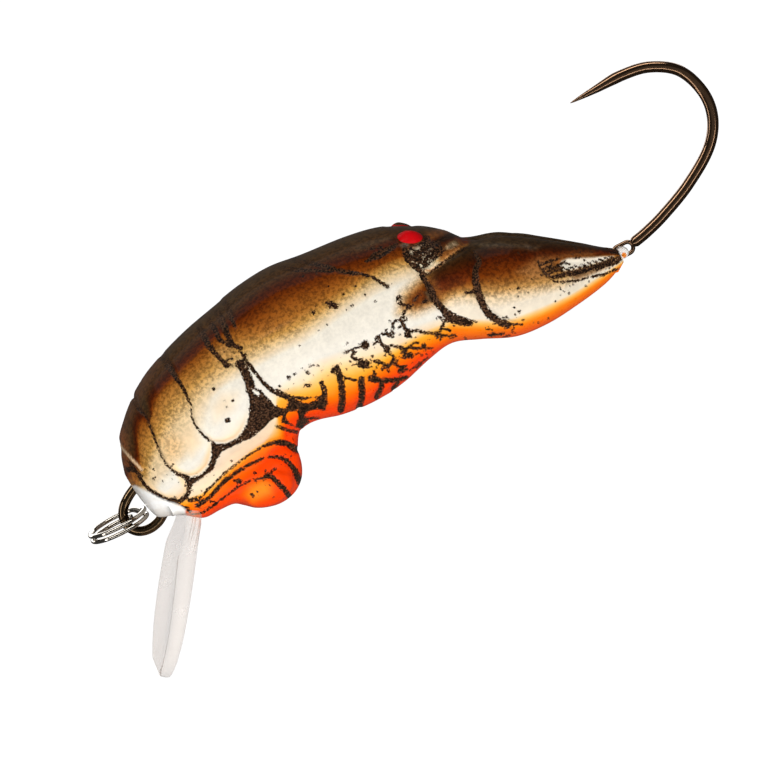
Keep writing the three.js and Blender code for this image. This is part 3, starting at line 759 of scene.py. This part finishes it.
def seat_depth(x, z, has_pegs):
    """How far the shell's inside is cut back from the parting plane, for the hollow and for what it holds."""
    room = half_width(x, z) - WALL
    depth = np.clip(room, 0, None) * smooth_step(*HOLLOW[0], x) * smooth_step(*HOLLOW[1], x)
    depth[(x < SOLID_NOSE[0]) & (z < SOLID_NOSE[1])] = 0
    depth[disc(x, z, RATTLE[:2], RATTLE[2] + RATTLE_WALL)] = 0
    for at in LOCATING_PEGS:
        depth[disc(x, z, at, BOSS_R)] = 0
        depth[disc(x, z, at, PEG_R if has_pegs else SOCKET_R)] = -PEG_LENGTH if has_pegs else SOCKET_DEPTH
    for seat, spare in ((RATTLE, 0), (BALLAST, CLEARANCE)):
        depth[disc(x, z, seat[:2], seat[2] + spare)] = seat[3] + spare
    behind = (LIP_ROOT[0] - x) * math.cos(LIP_ANGLE) + (LIP_ROOT[1] - z) * math.sin(LIP_ANGLE)
    across = (x - LIP_ROOT[0]) * math.sin(LIP_ANGLE) - (z - LIP_ROOT[1]) * math.cos(LIP_ANGLE)
    seat = (behind > -LIP_TONGUE - CLEARANCE) & (across > -CLEARANCE)
    seat &= across < LIP_THICKNESS[0] + CLEARANCE
    depth[seat] = np.minimum(LIP_ROOT_HALF_WIDTH + CLEARANCE, room[seat] + 0.5)
    return depth


def inner_skin(xs, has_pegs):
    share = np.linspace(0, 1, INNER_ROWS)
    x = np.repeat(xs[:, None], INNER_ROWS, axis=1)
    bottom = line_at(BELLY_LINE, x)
    top = line_at(BACK_LINE, x) - CLEFT_ROOM * smooth_step(CLAW_CLEFT[0], 25, x)
    inset = np.minimum(WALL, 0.3 * (top - bottom))
    z = bottom + inset + (top - bottom - 2 * inset) * share
    y = seam_at(x) + seat_depth(x, z, has_pegs)
    return np.stack([x, y, z], axis=2)


def grid_faces(columns, rows, first=0):
    i, j = np.meshgrid(np.arange(columns - 1), np.arange(rows - 1), indexing="ij")
    a = (first + i * rows + j).ravel()
    return np.stack([a, a + 1, a + rows + 1, a + rows], axis=1)


def shell_faces(inner_first):
    """Faces of the right shell: outside, inside, the two parting edges and the caps at nose and claw tip."""
    outer = grid_faces(COLUMNS, ROWS)
    inner = grid_faces(COLUMNS, INNER_ROWS, inner_first)[:, ::-1]
    i = np.arange(COLUMNS - 1)
    low_out, low_in = i * ROWS, inner_first + i * INNER_ROWS
    high_out, high_in = low_out + ROWS - 1, low_in + INNER_ROWS - 1
    low_rim = np.stack([low_out, low_out + ROWS, low_in + INNER_ROWS, low_in], axis=1)
    high_rim = np.stack([high_in, high_in + INNER_ROWS, high_out + ROWS, high_out], axis=1)
    caps = []
    hub = inner_first + COLUMNS * INNER_ROWS
    for column, turn in ((0, -1), (COLUMNS - 1, 1)):
        loop = [column * ROWS + j for j in range(ROWS)]
        loop += [inner_first + column * INNER_ROWS + k for k in range(INNER_ROWS)][::-1]
        loop = loop[::turn]
        caps += [(a, b, hub) for a, b in zip(loop, loop[1:] + loop[:1])]
        hub += 1
    return [tuple(f) for part in (outer, inner, low_rim, high_rim) for f in part.tolist()] + caps


def add_values(mesh, name, values):
    mesh.attributes.new(name, "FLOAT", "POINT").data.foreach_set("value", values.astype(np.float32))


def body_shell(name, node, side, material):
    """One painted half of the body. side is 1 for the right shell and -1 for the left one."""
    xs = body_columns(COLUMNS)
    skin = with_relief(outer_skin(xs))
    inside = inner_skin(xs, has_pegs=side < 0)
    ends = [np.concatenate([skin[i], inside[i]]).mean(axis=0) for i in (0, -1)]
    points = np.concatenate([skin.reshape(-1, 3), inside.reshape(-1, 3), ends])
    place = side_view(points)
    points[:, 1] *= side
    faces = shell_faces(skin.shape[0] * skin.shape[1])
    if side < 0:
        faces = [face[::-1] for face in faces]
    shell = new_piece(name, points, faces, material, "root", "painted_body", node)

    x, z = place.T
    # The paint colours, plus painted highlights along the lower edges of the tail segments.
    colour = painted_edge_highlight(place, paint_colour(place))
    rgba = np.concatenate([to_linear(colour), np.ones((len(points), 1))], axis=1)
    shell.data.attributes.new("paint", "FLOAT_COLOR", "POINT").data.foreach_set(
        "color", rgba.astype(np.float32).ravel()
    )
    add_values(shell.data, "ink", ink_distance(place))
    add_values(shell.data, "eye", oval_level(place, EYE_CENTRE, EYE_HALF_SIZES, EYE_TILT))
    add_values(shell.data, "bare", -patch_distance(place, BARE_NOSE))
    dark_edge = np.where(x < CLAW_BACK_FROM, line_at(DARK_EDGE, x), line_at(CLAW_PAINT[1][0], x))
    add_values(shell.data, "above", z - dark_edge)
    add_values(shell.data, "grain", smooth_step(234, 204, colour[:, 0]))
    return shell


# ---------------- making pieces
def add_object(name, data):
    made = bpy.data.objects.new(name, data)
    bpy.context.scene.collection.objects.link(made)
    return made


def new_piece(name, points, faces, material, body, slot, *nodes):
    """A smooth mesh from millimetre points that rides on a body and stands for the CAD nodes named."""
    mesh = bpy.data.meshes.new(name)
    mesh.from_pydata((np.asarray(points, float) * MM).tolist(), [], [tuple(f) for f in faces])
    mesh.materials.append(material)
    mesh.shade_smooth()
    mesh.set_sharp_from_angle(angle=math.radians(48))
    mesh.update()
    piece = add_object(name, mesh)
    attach(piece, body)
    if nodes:
        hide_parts(*nodes)
    return piece


def loft(rings, closed=False):
    """Points and faces of a skin over rings of points. A fan closes each end unless it closes on itself."""
    rings = np.asarray(rings, float)
    count, sides = rings.shape[:2]
    points = rings.reshape(-1, 3)
    faces = []
    for i in range(count if closed else count - 1):
        a = i * sides
        b = ((i + 1) % count) * sides
        faces += [(a + j, a + (j + 1) % sides, b + (j + 1) % sides, b + j) for j in range(sides)]
    if not closed:
        hubs = [rings[0].mean(axis=0), rings[-1].mean(axis=0)]
        first = len(points)
        points = np.concatenate([points, hubs])
        faces += [(first, (j + 1) % sides, j) for j in range(sides)]
        last = (count - 1) * sides
        faces += [(first + 1, last + j, last + (j + 1) % sides) for j in range(sides)]
    return points, faces


def wire(path, half_sizes, bend_normal, sides=24, closed=False, squareness=2.0):
    """A wire along a path. half_sizes are in its plane and across it. A squareness over 2 flattens it."""
    path = np.asarray(path, float)
    if closed:
        along = np.roll(path, -1, axis=0) - np.roll(path, 1, axis=0)
    else:
        along = np.gradient(path, axis=0)
    along /= np.linalg.norm(along, axis=1, keepdims=True)
    in_plane = np.cross(bend_normal, along)
    in_plane /= np.linalg.norm(in_plane, axis=1, keepdims=True)
    across = np.cross(along, in_plane)
    angle = np.linspace(0, 2 * math.pi, sides, endpoint=False)
    power = 2 / squareness
    u = np.sign(np.cos(angle)) * np.abs(np.cos(angle)) ** power
    v = np.sign(np.sin(angle)) * np.abs(np.sin(angle)) ** power
    sizes = np.broadcast_to(np.asarray(half_sizes, float), (len(path), 2))
    rings = path[:, None] + in_plane[:, None] * (sizes[:, :1] * u)[:, :, None]
    rings = rings + across[:, None] * (sizes[:, 1:] * v)[:, :, None]
    return loft(rings, closed)


def together(*solids):
    """Several point and face lists as one."""
    points, faces = [], []
    for some_points, some_faces in solids:
        first = sum(len(p) for p in points)
        points.append(np.asarray(some_points, float))
        faces += [tuple(v + first for v in face) for face in some_faces]
    return np.concatenate(points), faces


def turned(profile, centre, sides=48):
    """A solid turned about a line across the lure. The profile is (radius, y) points from end to end."""
    angle = np.linspace(0, 2 * math.pi, sides, endpoint=False)
    rings = []
    for radius, y in profile:
        x = centre[0] + radius * np.cos(angle)
        z = centre[1] - radius * np.sin(angle)
        rings.append(np.stack([x, np.full(sides, float(y)), z], axis=1))
    return loft(rings)


def in_middle_plane(flat):
    return np.stack([flat[:, 0], np.zeros(len(flat)), flat[:, 1]], axis=1)


def link_path(near, far, z, radius):
    """A closed oblong in the middle plane: a half-circle about each of two places, and straight runs."""
    parts = []
    for x, start in ((near, math.pi / 2), (far, -math.pi / 2)):
        angle = np.linspace(start, start + math.pi, 48)
        parts.append(np.stack([x + radius * np.cos(angle), z + radius * np.sin(angle)], axis=1))
    share = np.linspace(0, 1, 14)[1:-1, None]
    runs = []
    for part, following in zip(parts, parts[::-1]):
        runs += [part, part[-1] + (following[0] - part[-1]) * share]
    return in_middle_plane(np.concatenate(runs))


# ---------------- hardware
TIE_WIRE = numbers(2, """
    160 -25 120 -60 65 -93 0 -103 -60 -84 -97 -35 -97 25 -70 78 -20 120 35 150 100 175 170 185
""")
TIE_WIRE_R = 0.29


def line_tie(material):
    """The wire's exposed eye and its two legs in the nose."""
    loop = wire(in_middle_plane(smooth_path(TIE_WIRE, per_span=12)), (TIE_WIRE_R, TIE_WIRE_R), (0, 1, 0))
    return new_piece("line_tie_wire", *loop, material, "root", "black_nickel_wire", "line_tie")


def split_ring(material):
    """Two flat coils with cut ends, and one step from the lower to the upper."""
    steps, step_length, pitch = 420, 0.7, 0.35
    outer, radial, axial, centre, first = 1.87, 0.34, 0.26, -1.42, 1.0
    turn = np.linspace(0, 4 * math.pi - step_length - 0.12, steps)
    rise = smooth_step(2 * math.pi - step_length, 2 * math.pi - 0.08, turn)
    radius = outer - radial / 2
    x, y = centre + radius * np.cos(turn + first), radius * np.sin(turn + first)
    path = np.stack([x, y, (rise - 0.5) * pitch], axis=1)
    ends = np.minimum(turn, turn[-1] - turn) * radius
    sizes = np.array([radial / 2, axial / 2]) * (0.82 + 0.18 * smooth_step(0, 0.06, ends))[:, None]
    coil = wire(path, sizes, (0, 0, 1), sides=20, squareness=2.3)
    return new_piece("split_ring_coil", *coil, material, "ring", "nickel_ring", "split_ring")


HOOK_BEND = numbers(2, """
    3250 101 3360 126 3500 173 3700 265 3900 402 3997 550 4011 713 3940 886 3790 986 3620 1016 3440 1011
    3285 1006
""")
HOOK_WIRE_R = 0.335
HOOK_POINT_LENGTH = 2.9
HOOK_EYE = (31.67, 32.2, HOOK_PIVOT[1] + 0.02, 0.34, 0.13)  # x of its two ends, z, their radius, the wire's


def hook_wire():
    """The shank, the forged bend and the long barbless point."""
    flat = smooth_path(HOOK_BEND, per_span=24)
    length = np.r_[0, np.cumsum(np.linalg.norm(np.diff(flat, axis=0), axis=1))]
    point_from = length[-1] - HOOK_POINT_LENGTH
    at = np.r_[np.linspace(0, point_from, 230), np.linspace(point_from, length[-1], 90)[1:]]
    flat = np.stack([np.interp(at, length, flat[:, 0]), np.interp(at, length, flat[:, 1])], axis=1)
    to_point = length[-1] - at
    taper = np.minimum(1, 0.04 + 0.96 * (to_point / HOOK_POINT_LENGTH) ** 0.72)
    shoulder = np.minimum(1, 0.6 + at / 0.6)
    forged = smooth_step(4.0, 7.0, at) * smooth_step(2.2, 4.2, to_point)
    in_plane = HOOK_WIRE_R * taper * shoulder
    across = in_plane * (1 - 0.12 * forged)
    sizes = np.stack([in_plane, across], axis=1)
    return wire(in_middle_plane(flat), sizes, (0, 1, 0), sides=32, squareness=2.3)


def hook(material):
    """The hook, with its oblong eye."""
    *oblong, wire_r = HOOK_EYE
    eye = wire(link_path(*oblong), (wire_r, wire_r), (0, 1, 0), sides=16, closed=True)
    return new_piece("hook_wire", *together(hook_wire(), eye), material, "hook", "black_nickel_hook", "hook")


HOOK_PEG = numbers(2, "3 -20 15 -18 16 -10 16 50 13 55 3 56")  # the moulded peg's (radius, y) profile


def hook_lug(name, side, material):
    """A rounded lug beside the hook's eye, dimpled where the moulded peg ends in it."""
    inner, outer, corner = LUG_SLOT, LUG_HALF_WIDTH, 0.16
    profile = [(0.02, inner), (LUG_R * 0.9, inner), (LUG_R * 0.98, inner + 0.03)]
    for a in np.linspace(0, 1.5, 7):
        profile.append((LUG_R - corner + corner * math.cos(a), outer - corner + corner * math.sin(a)))
    profile += [(0.19, outer), (0.16, outer - 0.02), (0.12, outer - 0.06), (0.02, outer - 0.07)]
    points, faces = turned(profile, HOOK_PIVOT)
    if side < 0:
        points[:, 1] *= -1
        faces = [face[::-1] for face in faces]
        points, faces = together((points, faces), turned(HOOK_PEG, HOOK_PIVOT, 24))
    return new_piece(name, points, faces, material, "root", "clear_plastic")


def lip_half_width(a):
    swell = LIP_HALF_WIDTH - LIP_ROOT_HALF_WIDTH
    front = LIP_ROOT_HALF_WIDTH + swell * np.sin(np.clip(a / LIP_WIDEST_AT, 0, 1) * math.pi / 2)
    share = np.clip((a - LIP_WIDEST_AT) / (LIP_LENGTH - LIP_WIDEST_AT), 0, 1)
    return np.where(a < LIP_WIDEST_AT, front, LIP_HALF_WIDTH * np.sqrt(np.maximum(0, 1 - share**2.2)))


LIP_RIBS = ((1.0, 0.16, 0.16), (1.9, 0.1, 0.12))  # y of each pair at the root, its height and its reach
LIP_STATIONS, LIP_COLUMNS, LIP_EDGE_STEPS = 90, 56, 11


def lip_section(station, thickness, width):
    """The outline across the lip, as (y, rearward) points: front face, right edge, rear face, left edge."""
    radius = thickness / 2
    rim = LIP_RIM * smooth_step(0.4, 2.4, station) * smooth_step(9.6, 8.8, station)
    edge = radius + rim / 2
    flat = max(width - edge, 0.05)
    y = np.linspace(-flat, flat, LIP_COLUMNS)
    turn = np.linspace(math.pi / 2, -math.pi / 2, LIP_EDGE_STEPS)[1:-1]
    swell = edge + 0.03 * np.exp(-((turn / 0.22) ** 2))  # with the parting line
    rib = sum(height * np.exp(-(((np.abs(y) - at) / reach) ** 2)) for at, height, reach in LIP_RIBS)
    rib = rib * smooth_step(2.6, 0.6, station) * smooth_step(-0.2, 0.1, station)
    dish = 0.05 * smooth_step(0.5, 2.0, station) * (1 - (y / max(flat, 0.1)) ** 2)
    front = np.stack([y, dish - radius - rim * (y / flat) ** 2], axis=1)
    right = np.stack([flat + swell * np.cos(turn), -rim / 2 - swell * np.sin(turn)], axis=1)
    rear = np.stack([y, radius + rib], axis=1)[::-1]
    return np.concatenate([front, right, rear, right[::-1] * (-1, 1)])


def diving_lip(material):
    """A clear plate with rounded edges, a parting line round its rim and stiffening ribs at its root."""
    a = -LIP_TONGUE + (LIP_LENGTH + LIP_TONGUE) * np.sin(np.linspace(0, math.pi / 2, LIP_STATIONS))
    thick = LIP_THICKNESS[0] + (LIP_THICKNESS[1] - LIP_THICKNESS[0]) * np.clip(a / LIP_LENGTH, 0, 1)
    half = np.maximum(lip_half_width(a), 0.3)
    along = np.array([-math.cos(LIP_ANGLE), 0, -math.sin(LIP_ANGLE)])
    rearward = np.array([math.sin(LIP_ANGLE), 0, -math.cos(LIP_ANGLE)])
    root = np.array([LIP_ROOT[0], 0, LIP_ROOT[1]])
    rings = []
    for station, thickness, width in zip(a, thick, half):
        section = lip_section(station, thickness, width)
        centre = root + along * station + rearward * (thickness / 2)
        rings.append(centre + rearward * section[:, 1:] + np.array([0, 1, 0]) * section[:, :1])
    plate = loft(rings)
    return new_piece("diving_lip_plate", *plate, material, "root", "clear_plastic", "diving_lip")


def ballast(material):
    """A cast slug with chamfered ends, a mould line and the stub of its sprue."""
    x, z, radius, half = BALLAST
    profile = [(0.05, -half), (radius - 0.2, -half), (radius - 0.03, -half + 0.16), (radius, -half + 0.3)]
    for y, out in ((-0.1, 0), (-0.05, -0.01), (0, 0.02), (0.05, -0.01), (0.1, 0)):
        profile.append((radius + out, y))
    profile += [(radius, half - 0.3), (radius - 0.03, half - 0.16), (radius - 0.2, half - 0.02)]
    profile += [(0.45, half - 0.04), (0.38, half - 0.01), (0.05, half)]
    slug = turned(profile, (x, z))
    return new_piece("ballast_slug", *slug, material, "root", "ballast_metal", "ballast_weight")


def rattle_ball(material):
    """A fine steel ball with the two small flats that it keeps from its forming."""
    angle = np.linspace(0.12, math.pi - 0.12, 40)
    profile = [(RATTLE_BALL_R * math.sin(t), -RATTLE_BALL_R * math.cos(t)) for t in angle]
    shot = turned(profile, RATTLE[:2], 64)
    return new_piece("rattle_shot", *shot, material, "rattle", "rattle_steel", "rattle_ball")


# ---------------- materials
class Graph:
    """A material's node tree, with one short call for each kind of node that the materials share."""

    def __init__(self, name):
        self.material = bpy.data.materials.new(name)
        self.material.use_nodes = True
        self.tree = self.material.node_tree
        self.tree.nodes.clear()
        self.shader = self.tree.nodes.new("ShaderNodeBsdfPrincipled")
        self.node("OutputMaterial", {0: self.shader.outputs[0]})
        self.place = self.scaled(self.node("TexCoord", {})["Object"], 1 / MM)

    def put(self, socket, value):
        """Links or sets a socket."""
        if isinstance(value, bpy.types.NodeSocket):
            self.tree.links.new(value, socket)
        else:
            socket.default_value = value

    def node(self, kind, given, **settings):
        """The outputs of a new node. given holds its inputs by name or number."""
        node = self.tree.nodes.new("ShaderNode" + kind)
        for name, value in settings.items():
            setattr(node, name, value)
        for name, value in given.items():
            self.put(node.inputs[name], value)
        return node.outputs

    def math(self, operation, *values):
        return self.node("Math", dict(enumerate(values)), operation=operation)[0]

    def times(self, a, b):
        return self.math("MULTIPLY", a, b)

    def plus(self, a, b):
        return self.math("ADD", a, b)

    def mix(self, share, a, b):
        """A mix of two colours, each a socket or a screen colour."""
        a, b = ((*to_linear(value), 1) if isinstance(value, tuple) else value for value in (a, b))
        return self.node("Mix", {0: share, 6: a, 7: b}, data_type="RGBA")[2]

    def scaled(self, colour, by):
        return self.node("VectorMath", {0: colour, "Scale": by}, operation="SCALE")[0]

    def step(self, value, low, high, bottom=0.0, top=1.0):
        given = dict(enumerate((value, low, high, bottom, top)))
        return self.node("MapRange", given, interpolation_type="SMOOTHSTEP")[0]

    def noise(self, scale, detail=2.0, roughness=0.5, stretch=None):
        place = self.place
        if stretch:
            place = self.node("Mapping", {0: place, "Scale": stretch})[0]
        given = {"Vector": place, "Scale": scale, "Detail": detail, "Roughness": roughness}
        return self.node("TexNoise", given)["Fac"]

    def painted(self, name, output="Fac"):
        """A value or colour that the mesh carries at each point."""
        return self.node("Attribute", {}, attribute_name=name)[output]

    def bump(self, height, distance_mm, below=None):
        given = {"Strength": 1, "Distance": distance_mm * MM, "Height": height}
        if below is not None:
            given["Normal"] = below
        return self.node("Bump", given)[0]

    def finish(self, **sockets):
        """Sets the shader's sockets by name, with underscores for spaces, and returns the material."""
        for name, value in sockets.items():
            self.put(self.shader.inputs[name.replace("_", " ")], value)
        return self.material


def painted_body():
    """Airbrushed colours with painted highlights and sheen in them, fine gold grain, speckled black ink in
    the grooves, and a gloss clear coat.
    """
    g = Graph("painted_body")
    grain_share = g.painted("grain")

    fine = g.noise(5.2, 3, 0.62)
    speck = g.times(g.step(fine, 0.36, 0.62, -0.45, 0.2), grain_share)
    mottle = g.step(g.noise(1.4, 3), 0.3, 0.7, 0.95, 1.04)
    colour = g.scaled(g.painted("paint", "Color"), g.plus(speck, mottle))

    ragged = g.times(g.math("SUBTRACT", g.noise(6.5, 3, 0.7), 0.52), 0.3)
    pitted = g.times(g.step(g.noise(9.0, 2, 0.6), 0.6, 0.68), 0.12)
    edge = g.plus(g.plus(g.painted("ink"), ragged), pitted)
    inked = g.times(g.step(edge, 0.03, -0.03), g.step(g.painted("above"), 0.9, 0.0, 0.6, 1.0))
    ink_colour = g.mix(g.step(g.noise(9.0, 2), 0.42, 0.64), (22, 13, 7), (84, 56, 36))
    colour = g.mix(inked, colour, ink_colour)

    bare = g.plus(g.painted("bare"), g.times(ragged, 0.4))
    cloudy = g.step(g.noise(1.2, 3, 0.6, (0.6, 1, 1.4)), 0.35, 0.65)
    unpainted = g.mix(cloudy, (244, 238, 230), (254, 253, 250))
    colour = g.mix(g.step(bare, -0.12, 0.08), colour, unpainted)
    colour = g.mix(g.step(g.painted("eye"), -0.02, 0.04), colour, (196, 6, 14))

    peel = g.bump(g.noise(1.6, 2), 0.012)
    grit = g.bump(fine, 0.006, peel)
    raised = g.bump(inked, 0.008, grit)
    roughness = g.plus(g.times(grain_share, 0.12), g.step(fine, 0.3, 0.7, 0.26, 0.36))
    return g.finish(
        Base_Color=colour, Roughness=roughness, Normal=raised, Specular_IOR_Level=0.06,
        Coat_Weight=0.5, Coat_Roughness=0.08, Coat_IOR=1.45,
    )


def clear_plastic():
    """Clear moulded plastic with a faint haze, flow marks and fine scratches."""
    g = Graph("clear_plastic")
    flow = g.noise(0.8, 3, 0.6, (0.5, 1.6, 1.0))
    scratch = g.noise(7.0, 3, 0.7, (0.25, 2.5, 0.6))
    tint = g.mix(flow, (250, 236, 224), (226, 208, 192))
    rough = g.plus(g.step(flow, 0.3, 0.75, 0.06, 0.2), g.step(scratch, 0.62, 0.72, 0.0, 0.14))
    marks = g.bump(scratch, 0.006, g.bump(flow, 0.05))
    x, _, z = g.node("SeparateXYZ", {0: g.place})
    flush = g.times(g.step(x, 2.2, 3.0), g.step(z, -2.7, -1.9))
    glow = g.times(flush, g.step(g.noise(2.2, 2), 0.35, 0.6))
    tint = g.mix(g.times(glow, 0.75), tint, (255, 150, 66))
    return g.finish(
        Base_Color=tint, Roughness=rough, Normal=marks, Alpha=0.31, Specular_IOR_Level=0.3, IOR=1.45
    )


def lug_plastic():
    """Milky moulded plastic, painted where it meets the body, with a dab of orange where the peg ends."""
    g = Graph("lug_plastic")
    x, _, z = g.node("SeparateXYZ", {0: g.place})
    across = g.math("SUBTRACT", x, HOOK_PIVOT[0])
    up = g.math("SUBTRACT", z, HOOK_PIVOT[1] - 0.14)
    radius = g.math("SQRT", g.plus(g.times(across, across), g.times(up, up)))
    ragged = g.times(g.math("SUBTRACT", g.noise(6.0, 2), 0.5), 0.12)
    dab = g.step(g.plus(radius, ragged), 0.17, 0.12)
    base = g.mix(g.noise(2.5, 3), (255, 253, 250), (238, 232, 224))
    paint = g.mix(g.step(z, 0.66, 0.54), (38, 24, 14), (255, 104, 14))
    base = g.mix(g.step(g.plus(x, ragged), 31.6, 31.52), base, paint)
    colour = g.mix(dab, base, (250, 140, 30))
    rough = g.step(g.noise(8.0, 2), 0.35, 0.7, 0.12, 0.3)
    return g.finish(Base_Color=colour, Roughness=rough, Transmission_Weight=0.35, IOR=1.49, Coat_Weight=0.5)


def plated_wire(name, dark, light, rough, wear_colour, drawn=0.0004):
    """Plated wire: drawn streaks, small tone changes and rubbed spots."""
    g = Graph(name)
    streaks = g.noise(5.0, 3, 0.6, (0.5, 3.0, 0.8))
    colour = g.mix(g.noise(1.4, 3), dark, light)
    rubbed = g.step(g.noise(3.2, 4, 0.7), 0.66, 0.74)
    colour = g.mix(g.times(rubbed, 0.35), colour, wear_colour)
    roughness = g.step(streaks, 0.3, 0.75, rough, rough + 0.06)
    return g.finish(Base_Color=colour, Roughness=roughness, Metallic=1.0, Normal=g.bump(streaks, drawn))


def cast_metal():
    """Dull cast alloy with pits and a darker oxide film."""
    g = Graph("cast_metal")
    film = g.noise(1.2, 4, 0.6)
    pits = g.noise(6.0, 3)
    colour = g.mix(film, (112, 114, 120), (158, 160, 164))
    rough = g.step(film, 0.3, 0.7, 0.42, 0.62)
    surface = g.bump(g.step(pits, 0.3, 0.45), 0.03)
    return g.finish(Base_Color=colour, Roughness=rough, Metallic=1.0, Normal=surface)


# ---------------- studio
def placed(made, place, aim, axis):
    """Puts an object at a place, with the named axis of its own pointing at aim."""
    made.location = place
    made.rotation_euler = (Vector(aim) - Vector(place)).to_track_quat(axis, "Y").to_euler()
    return made


def area_light(name, place, aim, size, watts):
    light = bpy.data.lights.new(name, "AREA")
    light.shape = "RECTANGLE"
    light.size, light.size_y = size
    light.energy = watts
    lamp = placed(add_object(name, light), place, aim, "-Z")
    lamp.visible_camera = False
    return lamp


def floor_material():
    """Pale paper, a little cloudy and lit evenly."""
    g = Graph("pale_floor")
    paper = g.mix(g.noise(0.004, 2), (255, 255, 255), (250, 250, 250))
    return g.finish(Base_Color=paper, Roughness=0.9, Emission_Color=(1, 1, 1, 1), Emission_Strength=1.0)


SKY_LIGHT = 0.07
FLOOR_DEPTH = 0.5
FLOOR_HALF = 30


def wide_floor(x, y):
    """A sheet of paper half a metre below, which isn't part of the object and lights nothing."""
    corners = [(a * FLOOR_HALF, b * FLOOR_HALF, 0) for a, b in ((-1, -1), (1, -1), (1, 1), (-1, 1))]
    mesh = bpy.data.meshes.new("floor")
    mesh.from_pydata(corners, [], [(0, 1, 2, 3)])
    mesh.materials.append(floor_material())
    floor = placed(add_object("floor", mesh), (x, y, -FLOOR_DEPTH), (x, y, 1), "Z")
    floor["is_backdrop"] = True
    floor.visible_diffuse = False
    floor.visible_glossy = False


def white_sky():
    """A world that is white to the camera and dim to everything else."""
    world = bpy.data.worlds.new("studio")
    world.use_nodes = True
    nodes, links = world.node_tree.nodes, world.node_tree.links
    background = nodes["Background"]
    background.inputs["Color"].default_value = (1, 1, 1, 1)
    rays = nodes.new("ShaderNodeLightPath")
    strength = nodes.new("ShaderNodeMath")
    strength.operation = "MAXIMUM"
    strength.inputs[1].default_value = SKY_LIGHT
    links.new(rays.outputs["Is Camera Ray"], strength.inputs[0])
    links.new(strength.outputs[0], background.inputs["Strength"])
    bpy.context.scene.world = world


def studio(middle, metals):
    """A white sky, a wide floor, broad soft lamps, and bright strips that only the metal wires catch."""
    bpy.context.scene.view_settings.view_transform = "Standard"
    white_sky()
    x, y, z = middle
    wide_floor(x, y)
    for name, place, size, watts, shines in (
        ("key", (x - 0.2, y - 0.36, z + 0.34), (0.4, 0.3), 1.7, False),
        ("fill", (x + 0.05, y - 0.5, z - 0.08), (0.6, 0.4), 1.7, False),
        ("low_fill", (x, y - 0.26, z - 0.34), (0.5, 0.3), 1.35, False),
        ("back_fill", (x, y + 0.4, z + 0.2), (0.5, 0.4), 1.5, False),
        ("top_softbox", (x + 0.03, y + 0.12, z + 0.4), (0.6, 0.26), 0.13, True),
        ("front_strip", (x - 0.1, y - 0.34, z + 0.3), (0.3, 0.03), 0.03, True),
    ):
        area_light(name, place, middle, size, watts).visible_glossy = shines
    wires = bpy.data.collections.new("bright_wires")
    for piece in metals:
        wires.objects.link(piece)
    for name, place, size, watts in (
        ("wire_high", (x, y - 0.16, z + 0.36), (0.7, 0.08), 1.7),
        ("wire_low", (x - 0.1, y - 0.34, z - 0.16), (0.7, 0.03), 0.4),
        ("wire_left", (x - 0.36, y - 0.14, z + 0.04), (0.06, 0.5), 0.5),
        ("wire_back", (x, y + 0.34, z + 0.12), (0.7, 0.14), 1.0),
        ("wire_front", (x + 0.1, y - 0.45, z - 0.05), (0.5, 0.22), 0.05),
    ):
        area_light(name, place, middle, size, watts).light_linking.receiver_collection = wires


def camera():
    """The camera at the lure's near side, a little above it and rolled, so that the nose hangs down."""
    level = math.cos(VIEW_ELEVATION)
    away = Vector((math.sin(VIEW_AZIMUTH) * level, -math.cos(VIEW_AZIMUTH) * level, math.sin(VIEW_ELEVATION)))
    level_right = Vector((0, 0, 1)).cross(away).normalized()
    level_up = away.cross(level_right)
    right = math.cos(VIEW_ROLL) * level_right - math.sin(VIEW_ROLL) * level_up
    up = math.sin(VIEW_ROLL) * level_right + math.cos(VIEW_ROLL) * level_up
    aim = (level_right * VIEW_CENTRE[0] + level_up * VIEW_CENTRE[1]) * MM
    distance = VIEW_WIDTH * MM * LENS / SENSOR
    data = bpy.data.cameras.new("camera")
    data.lens = LENS
    data.sensor_width = SENSOR
    data.clip_start = 0.01
    data.clip_end = 200
    taker = add_object("camera", data)
    turn = Matrix((right, up, away)).transposed().to_4x4()
    taker.matrix_world = Matrix.Translation(aim + away * distance) @ turn
    bpy.context.scene.camera = taker


# ---------------- the scene
def build_lure():
    paint = painted_body()
    body_shell("painted_left_shell", "left_shell", -1, paint)
    body_shell("painted_right_shell", "right_shell", 1, paint)
    diving_lip(clear_plastic())
    milky = lug_plastic()
    hook_lug("hook_lug_left", -1, milky)
    hook_lug("hook_lug_right", 1, milky)
    tie_metal = plated_wire("black_nickel_wire", (84, 66, 46), (120, 98, 72), 0.05, (160, 142, 118), 0.0001)
    ring_metal = plated_wire("nickel_ring", (158, 150, 138), (200, 193, 182), 0.05, (214, 208, 198), 0.00005)
    hook_metal = plated_wire("black_nickel_hook", (104, 78, 58), (132, 104, 80), 0.1, (176, 148, 120))
    metals = [line_tie(tie_metal), split_ring(ring_metal), hook(hook_metal)]
    ballast(cast_metal())
    rattle_ball(plated_wire("rattle_steel", (186, 188, 194), (214, 216, 220), 0.07, (230, 230, 232)))
    return metals


camera()
metals = build_lure()
low, high = (Vector(corner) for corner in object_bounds())
studio(tuple((low + high) / 2), metals)
